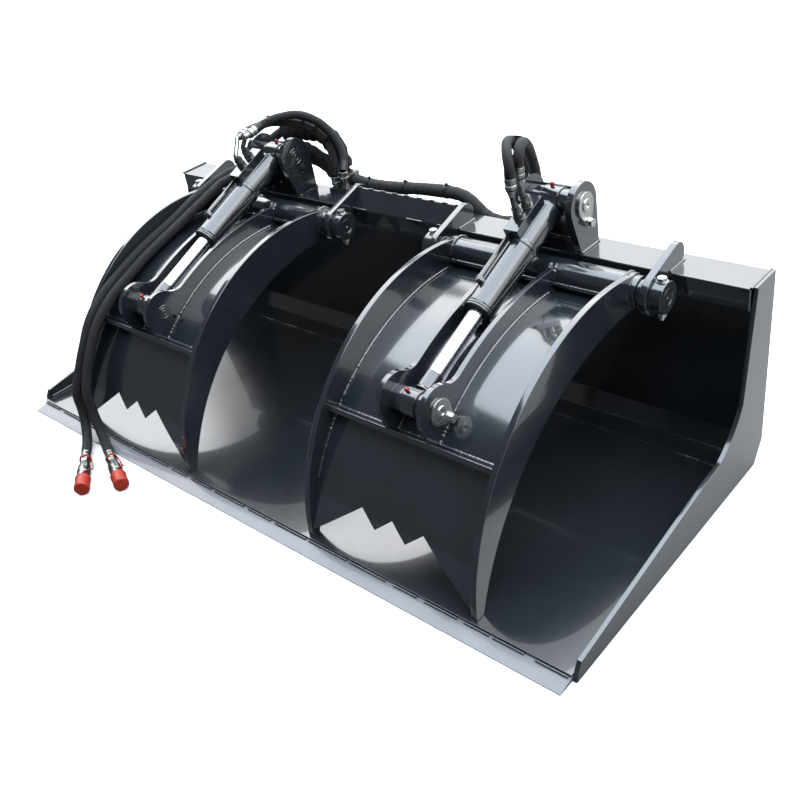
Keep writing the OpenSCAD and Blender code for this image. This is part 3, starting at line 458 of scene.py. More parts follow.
def swept_into(bm, points, radius, sides=20, flat=1.0, lean=None):
    """A tube along points in metres; radius in mm is a number or a function of the run."""
    uv = bm.loops.layers.uv.verify()
    dirs = [(points[min(i + 1, len(points) - 1)] - points[max(i - 1, 0)]).normalized()
            for i in range(len(points))]
    side = Vector(lean) if lean else Vector((0.3, 0.5, 0.8))
    side = (side - side.dot(dirs[0]) * dirs[0]).normalized()
    rings, runs = [], runs_along(points)
    for p, d, run in zip(points, dirs, runs):
        side = (side - side.dot(d) * d).normalized()
        up = d.cross(side)
        r = (radius(run) if callable(radius) else radius) * MM
        rings.append([bm.verts.new(p + r * (math.cos(a) * side + flat * math.sin(a) * up))
                      for a in (2 * math.pi * k / sides for k in range(sides))])
    mean = (radius(0.02) if callable(radius) else radius) * MM
    around = 2 * math.pi * mean
    for i in range(len(rings) - 1):
        vs = (runs[i], runs[i], runs[i + 1], runs[i + 1])
        for k in range(sides):
            q = (k + 1) % sides
            f = bm.faces.new((rings[i][k], rings[i][q], rings[i + 1][q], rings[i + 1][k]))
            us = (k / sides, (k + 1) / sides, (k + 1) / sides, k / sides)
            for loop, u, v in zip(f.loops, us, vs):
                loop[uv].uv = (u * around, v)
    for ring in (rings[0], rings[-1]):
        bm.faces.new(ring)


def swept(name, points, radius, body, finish, stands_for, **more):
    bm = bmesh.new()
    swept_into(bm, points, radius, **more)
    return made(name, bm, 60, body, finish, stands_for)


RIPPLE, WOBBLE = 4.2, 0.12      # a weld's ripple length in mm and the share it strays by


def bead_into(bm, points, width, seed):
    """A weld bead: overlapping ripples along a seam, points in metres."""
    rng = random.Random(seed)
    length = runs_along(points)[-1]
    phase = [rng.uniform(-WOBBLE, WOBBLE) for _ in range(int(length / (RIPPLE * MM)) + 3)]

    def radius(run):
        k = run / (RIPPLE * MM)
        return width / 2 * (0.86 + 0.20 * (1 - k % 1.0) ** 0.6 + phase[int(k)])
    line = resample(points, max(4, int(length / (RIPPLE * MM / 3))))
    swept_into(bm, line, radius, sides=10)


def beads(name, seams, body, width, seed=3):
    bm = bmesh.new()
    for i, points in enumerate(seams):
        bead_into(bm, points, width, seed + i)
    made(name, bm, 70, body, weld_paint)


def hex_into(bm, origin, axis, s0, s1, across, turn=0.0, crown=True):
    """A bolt head or nut: a hexagon with its corners turned off at the outer end."""
    axis, side, other = square_to(axis)
    r = across / 2
    levels = [(s0, 1.0), (s1 - 0.10 * across * crown, 1.0), (s1, 0.90 if crown else 1.0)]
    rings = []
    for s, q in levels:
        ring = []
        for k in range(24):
            a = 2 * math.pi * k / 24 + turn
            near = (a - turn) % (math.pi / 3) - math.pi / 6
            flat = math.cos(math.pi / 6) / math.cos(near)
            reach = r * min(flat, 0.935 if q < 1 else 1.0)
            d = math.cos(a) * side + math.sin(a) * other
            ring.append(bm.verts.new(origin + (s * axis + reach * d) * MM))
        rings.append(ring)
    join_rings(bm, zip(rings, rings[1:]))
    for ring in (rings[0], rings[-1]):
        bm.faces.new(ring)


def arc(c, r, a0, a1, n):
    """Points of an arc in the YZ plane, in millimetres."""
    return [(c[0] + r * math.cos(math.radians(a0 + (a1 - a0) * i / n)),
             c[1] + r * math.sin(math.radians(a0 + (a1 - a0) * i / n))) for i in range(n + 1)]


def seam(x, yz):
    """A seam at one X through points of the YZ plane."""
    return [at(x, y, z) for y, z in yz]


# ---------------------------------------------------------------- places on the drawing
HINGE, BASE_PIN, ROD_PIN = (656, 436.4), (732.5, 567.4), (214, 348.4)
SKIN_C = (565, -120)                # middle of the curved face sheets
GAP = math.hypot(ROD_PIN[0] - BASE_PIN[0], ROD_PIN[1] - BASE_PIN[1])
ALONG = ((ROD_PIN[0] - BASE_PIN[0]) / GAP, (ROD_PIN[1] - BASE_PIN[1]) / GAP)
ABOVE = (ALONG[1], -ALONG[0])
PORT_TOP, BLOCK_X = 57.0, -7.0      # the port block's top above its cylinder, and its middle
PIPE_RISE, PIPE_REACH = 30, 32      # from the port block to the top of the bent pipe
TOWER_IN, TOWER_T = 58, 16          # half gap between tower plates, and their thickness
BRACKET_IN, BRACKET_OUT = 266.5, 282.5
COLLAR_OUT = 310.5
ARM_OUT = 220.5                     # the arm plates' outer corner
PIN_HOLE = 15.2
FLAG_T = 6
BARREL_END = 316


def on_cylinder(cx, x, n, s):
    """A place beside a cylinder: x across, n above its axis and s along it from the base pin."""
    return at(cx + x, BASE_PIN[0] + n * ABOVE[0] + s * ALONG[0],
              BASE_PIN[1] + n * ABOVE[1] + s * ALONG[1])


CYL_AXIS, CYL_UP = Vector((0, *ALONG)), Vector((0, *ABOVE))
ACROSS, UP = Vector((1, 0, 0)), Vector((0, 0, 1))

# ---------------------------------------------------------------- supply hoses
SUPPLY_FRONT = {
    "a": [(-653, 640, 492), (-657, 560, 470), (-658, 467, 440), (-659, 361, 410),
          (-659, 282, 380), (-659, 205, 344), (-658, 145, 300), (-656, 98, 240),
          (-655, 60, 182), (-653, 30, 128), (-646, 23, 82), (-623, 6, 45), (-590, -19, 24),
          (-568, -36, 20), (-544, -54, 20)],
    "b": [(-621, 640, 492), (-627, 560, 464), (-630, 467, 434), (-632, 361, 401),
          (-632, 282, 370), (-631, 205, 336), (-628, 145, 292), (-624, 98, 236),
          (-619, 60, 178), (-611, 36, 128), (-602, 30, 82), (-575, 19, 45), (-537, 3, 24),
          (-512, -8, 20), (-484, -20, 20)],
}
COUPLER_DIR = {"a": Vector((0.8, -0.6, 0)), "b": Vector((0.92, -0.39, 0)).normalized()}
COUPLER_L, CAP_LAP, CAP_L = 144.0, 26.0, 44.0


def quick_coupler(tag):
    """Crimped hose end, adapter and flat faced coupler, then its dust cap with a loop."""
    end = at(*SUPPLY_FRONT[tag][-1])
    d = COUPLER_DIR[tag]
    bm = bmesh.new()
    turned_into(bm, end, d, [(-4, 9.5), (-4, 12.4), (5, 12.6), (6.5, 11.4), (10, 11.4),
                             (11.5, 12.6), (19, 12.6), (20.5, 11.4), (24, 11.4), (25.5, 12.6),
                             (31, 12.4), (33, 10), (36, 10), (36, 9.5)], 0.7)
    hex_into(bm, end, d, 36, 50, 27, turn=0.3)
    turned_into(bm, end, d, [(50, 3), (50, 10.5), (56, 10.5), (57, 13.5), (60, 13.5),
                             (60, 3)], 0.5)
    hex_into(bm, end, d, 60, 76, 31, turn=0.1)
    turned_into(bm, end, d, [(76, 3), (76, 14.5), (79, 16.9), (96, 16.9), (98, 15.2),
                             (101, 15.2), (103, 16.9), (118, 16.9), (120, 15), (144, 15),
                             (144, 3)], 0.8)
    coupler = made("quick_coupler_" + tag, bm, 40, "grapple_left", fitting, "quick_couplers")
    bm = bmesh.new()
    s0, s1 = COUPLER_L - CAP_LAP, COUPLER_L - CAP_LAP + CAP_L
    turned_into(bm, end, d, [(s0, 17.1), (s0, 20), (s0 + 5, 20), (s0 + 6, 19.1), (s1 - 9, 18.9),
                             (s1 - 8, 19.6), (s1 - 3, 19.6), (s1, 16.5), (s1, 0.2),
                             (COUPLER_L + 0.5, 0.2), (COUPLER_L + 0.5, 17.1)], 1.0)
    side = Vector((-d.y, d.x, 0))
    back = end + d * (s0 + 2) * MM
    loop = [back + Vector((0, 0, 18)) * MM,
            back + (side * 12 + Vector((0, 0, 15.5))) * MM - d * 14 * MM,
            back + (side * 22 + Vector((0, 0, 3))) * MM - d * 34 * MM,
            back + (side * 19 + Vector((0, 0, -10))) * MM - d * 60 * MM,
            back + (side * 16.5 + Vector((0, 0, 1))) * MM - d * 86 * MM]
    swept_into(bm, smooth_route(loop, 8), 2.0, sides=10, flat=0.7)
    turned_into(bm, end + d * 30 * MM, d, [(-3, 12.7), (3, 12.7), (3, 15.2), (-3, 15.2)], 0.5)
    cap = made("dust_cap_" + tag, bm, 45, "grapple_left", orange, "dust_caps")
    return soften(coupler, 0), soften(cap, 0)


def supply_cord(tag):
    """The loose front run of a supply hose, with its coupler and cap."""
    path = smooth_route([at(*p) for p in SUPPLY_FRONT[tag]], 5)
    free = runs_along(path)[-1]
    path += [path[-1] + s * MM * COUPLER_DIR[tag] for s in (6, 20, 34, 48)]

    def radius(run):
        return 9.0 if run > free + 2 * MM else (
            13.2 + 0.18 * math.sin(run * 37) + 0.12 * math.sin(run * 91))
    hose = swept("supply_hose_" + tag, path, radius, "grapple_left", sleeve,
                 "supply_hoses_front", sides=28)
    on_it = quick_coupler(tag)


for tag in ("a", "b"):
    supply_cord(tag)


# ---------------------------------------------------------------- bucket shell
for node in ("floor_sheet", "back_sheet", "side_plate_left", "side_plate_right", "wear_bars",
             "mounting_plate", "rear_gussets"):
    plate(node, shell_paint, 1.0)
plate("cutting_edge", edge_paint, 0.8)
plate("top_rail", paint, 4.5, segments=4)
plate("centre_rib", paint, 1.6)
for node in ("hinge_brackets", "tower_plates", "tower_back_plates"):
    plate(node, paint, 1.4)
for side, _, _ in SIDES:
    for node, width in (("arms_", 1.5), ("skin_", 1.0), ("ears_", 1.5), ("crossbar_", 1.6),
                        ("port_block_", 1.2), ("barrel_pipe_", 0)):
        plate(node + side, paint, width)


def hinge_fittings():
    """Shafts with their collars and bolts on the bucket, tubes and bushes on the grapples."""
    turned_piece("locking_collars", "bucket", paint, "hinge_collars",
                 *((at(cx, *HINGE), (s, 0, 0), ring_profile(BRACKET_OUT, COLLAR_OUT, 20.02, 35),
                    1.6) for cx, s in CORNERS))
    turned_piece("hinge_shaft_bars", "bucket", paint, "hinge_shafts",
                 *((at(cx, *HINGE), (s, 0, 0),
                    [(0, 0), (0, 20), (COLLAR_OUT, 20), (COLLAR_OUT, 17), (309, 15.5), (309, 4),
                     (306, 0)], 0.6) for cx, s in CORNERS))
    bolts = bmesh.new()
    for cx, s in CORNERS:
        c = at(cx + s * (BRACKET_OUT + COLLAR_OUT) / 2, *HINGE)
        turned_into(bolts, c, UP, [(34, 6), (34, 12), (36.2, 12), (36.2, 6)], 0.3)
        hex_into(bolts, c, UP, 36.2, 43.5, 21, turn=0.35)
        turned_into(bolts, c, UP, [(-53, 0), (-53, 5.2), (-52, 6), (-30, 6), (-30, 0)], 0.2)
        hex_into(bolts, c, -UP, 35, 45, 21, turn=0.7)
    finish_turned("collar_bolts_with_nuts", bolts, "bucket", zinc, "collar_bolts")
    for side, cx, _ in SIDES:
        body, middle = "grapple_" + side, at(cx, *HINGE)
        turned_piece("hinge_tube_made_" + side, body, paint, "hinge_tube_" + side,
                     (middle, ACROSS, ring_profile(-222, 222, 25.02, 35), 1.0))
        turned_piece("bushes_made_" + side, body, steel, "hinge_bushes_" + side,
                     *((middle, (s, 0, 0), ring_profile(184, 250, 20.05, 25)) for s in (-1, 1)))


hinge_fittings()


def pin_and_flag(side, cx, s, yz, half, reach, angle, body, node_pin, node_flag, rim=1.0):
    """Cylinder pin, its locking flag and the flag's bolt with a spring washer; rim widens the
    grooved disc at the pin's other end."""
    centre = at(cx, *yz)
    tail = "" if body == "bucket" else "_" + side
    turned_piece("pin_" + node_pin + "_" + side, body, zinc, node_pin + tail,
                 (centre, (s, 0, 0), [(-half, 0), (-half, 13), (-half + 2, 15), (half + 7, 15),
                                      (half + 9, 13.4), (half + 9, 6.0), (half + 7.2, 4.2),
                                      (half + 5, 0)], 0.5))
    a = math.radians(angle)
    q = (yz[0] + reach * math.cos(a), yz[1] + reach * math.sin(a))
    outline = arc(yz, 29, angle + 60, angle + 300, 40) + arc(q, 11, angle - 60, angle + 60, 16)
    bm = bmesh.new()
    flat_into(bm, outline, cx + s * half, cx + s * (half + FLAG_T), [(yz, PIN_HOLE)])
    soften(made("flag_" + node_flag + "_" + side, bm, None, body, zinc, node_flag + tail), 0.9)
    bm = bmesh.new()
    head = at(cx + s * half, *q)
    turned_into(bm, head, (s, 0, 0), [(FLAG_T, 0), (FLAG_T, 11.5), (7.4, 11.5), (7.4, 10.2),
                                      (9.2, 9.6), (9.2, 0)], 0.3)
    hex_into(bm, head, (s, 0, 0), 9.2, 16, 21, turn=0.2 + angle)
    finish_turned("flag_bolt_" + node_flag + "_" + side, bm, body, zinc)
    disc = [(0, 0), (1.2, 0), (1.2, 4.4), (0.4, 5), (0.4, 6.4), (1.2, 7), (1.2, 11.6),
            (0.3, 12.3), (0.3, 14.2), (1.2, 14.9), (1.2, 18.2), (0, 19)]
    turned_piece("pin_end_" + node_pin + "_" + side, body, paint, None,
                 (centre, (-s, 0, 0), [(half + h, r * rim) for h, r in disc], 0.25))


def flat_into(bm, outline, x0, x1, holes=()):
    """A flat plate across X from an outline in Y and Z with round holes, both in mm."""
    loops = [outline] + [[(c[0] + r * math.cos(t), c[1] + r * math.sin(t))
                          for t in (2 * math.pi * k / 48 for k in range(48))] for c, r in holes]
    edges = []
    for loop in loops:
        vs = [bm.verts.new(at(x0, *p)) for p in loop]
        edges += [bm.edges.new((vs[i - 1], vs[i])) for i in range(len(vs))]
    filled = bmesh.ops.triangle_fill(bm, edges=edges, use_beauty=True)["geom"]
    faces = [g for g in filled if isinstance(g, bmesh.types.BMFace)]
    bmesh.ops.dissolve_limit(bm, angle_limit=0.01, verts=list({v for f in faces for v in f.verts}),
                             edges=list({e for f in faces for e in f.edges}))
    faces = [f for f in bm.faces if f.is_valid]
    more = bmesh.ops.extrude_face_region(bm, geom=faces)["geom"]
    move = [g for g in more if isinstance(g, bmesh.types.BMVert)]
    bmesh.ops.translate(bm, verts=move, vec=Vector(((x1 - x0) * MM, 0, 0)))


def towers():
    """Spacers and pins of the towers, and the rod pins with theirs."""
    for side, cx, s in SIDES:
        pin_and_flag(side, cx, s, BASE_PIN, TOWER_IN + TOWER_T, 43, -78, "bucket", "tower_pins",
                     "tower_pin_flags", 1.26)
        pin_and_flag(side, cx, s, ROD_PIN, 60, 35, -49, "grapple_" + side, "rod_pin",
                     "rod_pin_flag")
    turned_piece("tower_spacer_rings", "bucket", paint, "tower_spacers",
                 *((at(cx, *BASE_PIN), (s, 0, 0), ring_profile(23, TOWER_IN, 15.02, 28), 1.2)
                   for cx, s in CORNERS))


towers()


# ---------------------------------------------------------------- cylinders
def cylinder_pieces(side, cx):
    """Barrel, gland, wiper and base eye on the cylinder, with thin black rings as painted shade in
    the gland's groove and joint; rod and rod eye on the ram, with thin black rings as painted
    shadow in the gaps beside the rod eye.
    """
    body, ram = "cylinder_" + side, "ram_" + side
    base, tip = at(cx, *BASE_PIN), at(cx, *ROD_PIN)
    turned_piece("barrel_made_" + side, body, paint, "barrel_" + side,
                 (base, CYL_AXIS, [(29.5, 0), (29.5, 30), (32.5, 33), (138, 33), (140, 34.3),
                                   (144, 34.8), (148, 34.3), (150, 33), (312, 33),
                                   (BARREL_END, 32), (BARREL_END, 25.2), (43.5, 25.2),
                                   (43.5, 0)], 0.6, 96))
    turned_piece("gland_made_" + side, body, paint, "gland_" + side,
                 (base, CYL_AXIS, [(BARREL_END, 18.05), (328, 18.05), (328, 32), (326, 34.2),
                                   (322.5, 34.5), (322.5, 33), (320.5, 33), (320.5, 34.5),
                                   (317, 34.5), (BARREL_END, 33)], 0.5, 96),
                 (base, CYL_AXIS, ring_profile(282, BARREL_END, 18.05, 24.98), 0.5))
    # Black rubber: the wiper ring, widened over the gland's end face so that face shows dark, and
    # two thin black rings as painted shade, one in the gland's groove and one in the notch where
    # barrel and gland meet.
    turned_piece("rod_wiper_and_groove_shade_" + side, body, rubber, None,
                 (base, CYL_AXIS, [(327, 18.05), (330, 18.05), (330, 21), (328.6, 22),
                                   (328.6, 30.5), (327, 30.5)], 0.4),
                 (base, CYL_AXIS, ring_profile(320.7, 322.3, 32, 33.7), 0.3),
                 (base, CYL_AXIS, ring_profile(314.8, 316.4, 31, 33.4), 0.3))
    turned_piece("base_eye_made_" + side, body, paint, "base_eye_" + side,
                 (base, ACROSS, ring_profile(-22.5, 22.5, 15.05, 31), 1.6),
                 (base, CYL_AXIS, [(20, 0), (20, 22), (29.5, 22), (29.5, 0)], 0.2))
    turned_piece("rod_made_" + side, ram, chrome, "rod_" + side,
                 (base, CYL_AXIS, [(175, 0), (175, 24.9), (205, 24.9), (205, 18),
                                   (GAP - 31, 18), (GAP - 31, 0)], 0.6, 96))
    turned_piece("rod_eye_made_" + side, ram, paint, "rod_eye_" + side,
                 (tip, ACROSS, ring_profile(-18.6, 18.6, 26, 31), 1.6),
                 (base, CYL_AXIS, [(GAP - 73, 18.1), (GAP - 73, 19.0), (GAP - 71.5, 19.5),
                                   (GAP - 34, 19.5), (GAP - 30, 22.5), (GAP - 27, 24),
                                   (GAP - 27, 18.1)], 0.4))
    # Thin black rings on both sides of the rod eye: painted shadow in the gaps between the eye and
    # the ears.
    turned_piece("rod_eye_gap_shadow_rings_" + side, ram, rubber, None,
                 *((tip, (s, 0, 0), ring_profile(18.4, 20.4, 26.5, 29.5), 0.3) for s in (-1, 1)))


for side, cx, _ in SIDES:
    cylinder_pieces(side, cx)


# ---------------------------------------------------------------- hose ends on the cylinders
def hose_end_into(bm, p, d):
    """Collar, black ring and crimped ferrule with two bands; d points out along the hose."""
    turned_into(bm, p, d, [(-3, 6), (-3, 8.2), (4, 8.6), (4, 10.6), (7.5, 10.6), (7.5, 6)], 0.5)
    turned_into(bm, p, d, [(9.5, 6), (9.5, 11.8), (11, 12.6), (18, 12.7), (19, 11.1), (22, 11.1),
                           (23, 12.7), (30.5, 12.7), (33, 12.0), (34, 9), (34, 6)], 0.6)


def elbow_end(side, place, cx, s, knee, d):
    """Hex nut on the port block, swept steel pipe and hose end; knee is the pipe's top."""
    name, body = "elbow_%s_%s" % (side, place), "cylinder_" + side
    foot = on_cylinder(cx, BLOCK_X, PORT_TOP, s)
    metal, dark = bmesh.new(), bmesh.new()
    turned_into(metal, foot, CYL_UP, [(0, 0), (0, 12.5), (3, 12.5), (3, 0)], 0.4)
    hex_into(metal, foot, CYL_UP, 3, 12, 25, turn=0.2, crown=False)
    turned_into(metal, foot, CYL_UP, [(12, 0), (12, 9.6), (14.5, 9.6), (14.5, 0)], 0.4)
    hex_into(metal, foot, CYL_UP, 14.5, 26, 24, turn=0.5)
    a = foot + 24 * MM * CYL_UP
    b = a + 10 * MM * CYL_UP
    path = [a, b, b.lerp(knee, 0.55) + 2 * MM * CYL_UP, knee - 5 * MM * d, knee + 3 * MM * d]
    swept_into(metal, smooth_route(path, 8), 6.4)
    hose_end_into(metal, knee, d)
    finish_turned(name + "_metal", metal, body, fitting, "hose_elbows_" + side)
    turned_into(dark, knee, d, ring_profile(7.2, 9.8, 6, 11.4), 0.5)
    turned_into(dark, foot, CYL_UP, ring_profile(26, 27.6, 6.4, 9.4), 0.4)
    finish_turned(name + "_ring", dark, body, rubber)


def knee_of(cx, s, shares):
    """The top of a bent pipe, whose reach in X, Y and Z is given in shares."""
    foot = on_cylinder(cx, BLOCK_X, PORT_TOP + PIPE_RISE, s)
    return foot + Vector(shares) * PIPE_REACH * MM


# Each hose: its place along the cylinder, its pipe's reach and direction, and its route.
HOSES = {
    ("left", "front"): (108, (-0.5, 1.1, 1.27), (-0.1, 1, 0.12),
                        [(-470, 700, 653), (-447, 730, 656), (-411, 764, 648), (-368, 794, 627),
                         (-334, 810, 590), (-309, 805, 545), (-300.1, 788.9, 502)]),
    ("left", "rear"): (75, (0.35, 0.33, 1), (0.1, 1, 0.22),
                       [(-436, 700, 665), (-417, 737, 671), (-384, 780, 666), (-340, 808, 639),
                        (-304, 820, 594), (-278, 812, 553), (-264.2, 788.9, 520)]),
    ("right", "front"): (108, (0, -0.22, 1), (0, 0, 1),
                         [(444, 593, 690), (437, 600, 706), (424, 616, 718), (409, 638, 721),
                          (394, 664, 717), (379, 696, 704), (364, 730, 680), (350, 763, 648),
                          (337, 792, 612), (324, 812, 574), (316, 820, 540),
                          (312.5, 819.4, 504)]),
    ("right", "rear"): (75, (0, -0.22, 1), (0, 0, 1),
                        [(445, 624, 700), (441, 635, 713), (431, 656, 718), (418, 684, 710),
                         (404, 713, 693), (391, 741, 666), (379, 766, 633), (368, 788, 596),
                         (356, 807, 552), (345.4, 819.4, 504)]),
}
LINES = {}
for (side, place), (s, shares, d, route) in HOSES.items():
    cx, d = LEFT if side == "left" else RIGHT, Vector(d).normalized()
    knee = knee_of(cx, s, shares)
    elbow_end(side, place, cx, s, knee, d)
    path = smooth_route([knee + 34.3 * MM * d] + [at(*p) for p in route])
    LINES[(side, place)] = path
    hose = swept("cylinder_hose_%s_%s" % (side, place), path,
                 lambda run, k=s: 11.2 + 0.25 * math.sin(run * 61 + k)
                 + 0.15 * math.sin(run * 143 + k), None, sleeve, "cylinder_hoses_" + side,
                 sides=28)
    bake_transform(hose)
    for end, points, body in (("top", path[:5], "cylinder_" + side),
                              ("foot", path[-5:], "bucket")):
        bm = bmesh.new()
        swept_into(bm, points, 11.9, sides=28)
        made("hose_tape_%s_%s_%s" % (side, place, end), bm, 50, body, tape)

# ---------------------------------------------------------------- hoses behind the rail
TEES = {"left": [(-300.1, 788.9, 468), (-264.2, 788.9, 486)],
        "right": [(312.5, 819.4, 470), (345.4, 819.4, 470)]}


def manifolds():
    """Hose ends behind the rail with the blocks that they screw into."""
    metal = bmesh.new()
    for side, ends in TEES.items():
        for p in ends:
            hose_end_into(metal, at(*p), UP)
            hex_into(metal, at(*p), UP, -16, -3, 25, turn=0.4)
    for x, y, z, w, d, h in ((-290, 825, 482, 56, 40, 44), (330, 823, 451, 70, 36, 38),
                             (-282, 790.5, 464, 72, 29, 8)):
        block = bmesh.ops.create_cube(metal, size=1)["verts"]
        bmesh.ops.scale(metal, verts=block, vec=Vector((w, d, h)) * MM)
        bmesh.ops.translate(metal, verts=block, vec=at(x, y, z))
    soften(made("hose_manifolds", metal, 48, "bucket", fitting, "hose_tees"), 0.8)


manifolds()
RAIL_ROUTE = [(-262, 825, 482), (-225, 825, 477), (-194, 825, 476), (-114, 825, 480),
              (-37, 825, 488), (37, 825, 493), (90, 825, 494), (124, 825, 488), (150, 824, 473),
              (172, 823, 456), (196, 823, 445), (222, 823, 441), (248, 823, 442),
              (272, 823, 447), (295, 823, 451)]
WRAP_PITCH = 0.026


def wrapped(run):
    """The bundle's radius: a spiral wrap with a lip at every turn, pulled tight unevenly."""
    lip = 1.15 * (run / WRAP_PITCH % 1.0) ** 0.7
    return 15.7 + lip + 0.35 * math.sin(run * 47) + 0.25 * math.sin(run * 23)


swept("rail_hose_bundle", fine(smooth_route([at(*p) for p in RAIL_ROUTE])), wrapped, "bucket",
      sleeve, "rail_hoses", sides=30)
REAR_ROUTES = {
    "a": [(-318, 820, 486.4), (-345, 823, 502), (-385, 824, 520), (-430, 823, 536),
          (-485, 818, 545), (-540, 806, 538), (-588, 780, 521), (-625, 732, 507),
          (-645, 686, 500), (-653, 640.4, 492.1)],
    "b": [(-299.3, 830, 504), (-305, 836, 538), (-321, 840, 577), (-355, 841, 609),
          (-408, 838, 622), (-462, 830, 616), (-514, 818, 596), (-550, 792, 570),
          (-572, 750, 537), (-598, 692, 506), (-621, 640.4, 492.1)],
}
for tag, route in REAR_ROUTES.items():
    hose = swept("supply_hose_rear_" + tag, smooth_route([at(*p) for p in route]),
                 lambda run: 13.2 + 0.2 * math.sin(run * 41) + 0.12 * math.sin(run * 97),
                 None, sleeve, "supply_hoses_rear", sides=28)
    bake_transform(hose)


def sheath(name, route, wide, thick, finish, seed):
    """A loose fabric sleeve lying flat over a hose, open at its ends, with folds across."""
    rng = random.Random(seed)
    phase = [rng.uniform(0, 6.28) for _ in range(3)]

    def half(run):
        return thick * (1 + 0.06 * math.sin(run * 70 + phase[0]) + 0.04 * math.sin(run * 190))
    line = fine(smooth_route([at(*p) for p in route], 8), 4)
    bm = bmesh.new()
    swept_into(bm, line, half, sides=36, flat=wide / thick, lean=(0, 1, 0))
    for v in bm.verts:
        k = math.sin(v.co.x * 210 + phase[1]) * math.sin(v.co.z * 150 + phase[2])
        v.co.y += 0.0016 * k
    made(name, bm, 60, "bucket", finish)


sheath("hose_sheath_upper", [(-508, 820, 588), (-470, 828, 600), (-430, 834, 606),
                             (-390, 838, 602), (-355, 841, 585), (-328, 841, 556),
                             (-312, 838, 525), (-304, 834, 508)], 33, 14.5, sleeve, 3)
sheath("hose_sheath_lower", [(-338, 823, 500), (-360, 824, 515), (-390, 824, 528),
                             (-430, 823, 541), (-470, 820, 548)], 28, 14.0, grey_sleeve, 8)


def ties():
    """Cable ties round both hoses of a cylinder and round the bundle behind the rail, each with
    its small square head."""
    for side, shares in (("left", (0.20, 0.48, 0.58, 0.69)), ("right", (0.34, 0.57))):
        bm = bmesh.new()
        paths = [LINES[(side, place)] for place in ("front", "rear")]
        lines = [fine(path, 4) for path in paths]
        for share in shares:
            i = int(share * len(lines[0]))
            a = lines[0][i]
            b = min(lines[1], key=lambda q: (q - a).length)
            mid, apart = a.lerp(b, 0.5), b - a
            along = (lines[0][i + 2] - lines[0][i - 2]).normalized()
            half = apart.length / 2 / MM + 12.4
            reach = along * 2.5 * MM
            swept_into(bm, [mid - reach, mid + reach], half, sides=40, flat=12.6 / half,
                       lean=apart)
            out = apart.cross(along).normalized() * (1 if side == "left" else -1)
            hex_into(bm, mid + out * 12.0 * MM, out, 0, 5, 9, turn=0.4)
        pair = made("cable_ties_" + side, bm, 40, None, tape)
        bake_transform(pair)
    bm = bmesh.new()
    bundle = fine(smooth_route([at(*p) for p in RAIL_ROUTE]), 4)
    for share in (0.10, 0.33, 0.57):
        i = int(share * len(bundle))
        along = (bundle[i + 2] - bundle[i - 2]).normalized() * 2.8 * MM
        swept_into(bm, [bundle[i] - along, bundle[i] + along], 17.9, sides=40)
        hex_into(bm, bundle[i] + 17.4 * MM * UP, UP, 0, 5, 9, turn=0.2)
    made("bundle_ties", bm, 40, "bucket", tape)


ties()


def grease_caps():
    """Small red caps on the grease nipples of the base eyes and rod eyes."""
    for side, cx, _ in SIDES:
        for name, centre, x, angle, body in (
                ("base", BASE_PIN, 4 if side == "left" else -4, 88, "cylinder_" + side),
                ("rod", ROD_PIN, -10, 104, "ram_" + side)):
            a = math.radians(angle)
            d = Vector((0, math.cos(a), math.sin(a)))
            root = at(cx + x, centre[0] + 30.5 * d.y, centre[1] + 30.5 * d.z)
            turned_piece("grease_cap_%s_%s" % (name, side), body, red, None,
                         (root, d, [(-1, 0), (-1, 4.2), (1, 4.2), (1.6, 3.4), (2.6, 4.6),
                                    (7.5, 4.9), (9.5, 3.6), (10, 1.6), (10, 0)], 0.5, 28))


grease_caps()


# ---------------------------------------------------------------- welds
RAIL_TOP = 461.5
SIDE_SEAM = 903.5           # where the floor and the back sheet meet the side plates


def x_seam(y, z, x0, x1):
    """A seam straight across the bucket."""
    return [at(x0, y, z), at(x1, y, z)]


def x_dashes(rng, y, z, x, last, runs, gaps):
    """Short seams across the bucket from x to last, with uneven lengths and gaps."""
    out = []
    while x < 880:
        run = rng.uniform(*runs)
        out.append(x_seam(y, z, x, min(x + run, last)))
        x += run + rng.uniform(*gaps)
    return out


def shell_welds():
    """Seams round the floor, back and rail, stitches at the heel, edge bar and rib."""
    seams = []
    for s in (-1, 1):
        for yz in ([(60, 18), (690, 18)], [(690, 18), (756, 20), (786, 58), (797, 400)],
                   [(714, 408), (796, 408)]):
            seams.append(seam(s * SIDE_SEAM, yz))
        seams.append(seam(s * 906, [(712, RAIL_TOP), (804, RAIL_TOP)]))
    seams.append(x_seam(797.5, 408.5, -903, 903))
    beads("shell_seams", seams, "bucket", 6.0)
    rng = random.Random(5)
    beads("floor_stitches", x_dashes(rng, 697, 17.2, -890, 895, (45, 60), (40, 60)), "bucket",
          5.5, seed=40)
    beads("edge_bar_weld", x_dashes(rng, 34.4, 11.6, -900, 900, (60, 120), (8, 26)), "bucket",
          5.0, seed=80)
    spots = [x_seam(747.2, 504.2, c - 7, c + 7) for c in (-165 + k * 41 for k in range(9))]
    spots += [x_seam(711.5, 461, x0, x1) for x0, x1 in ((-166, -120), (20, 70), (120, 166))]
    beads("rib_stitches", spots, "bucket", 5.0, seed=120)


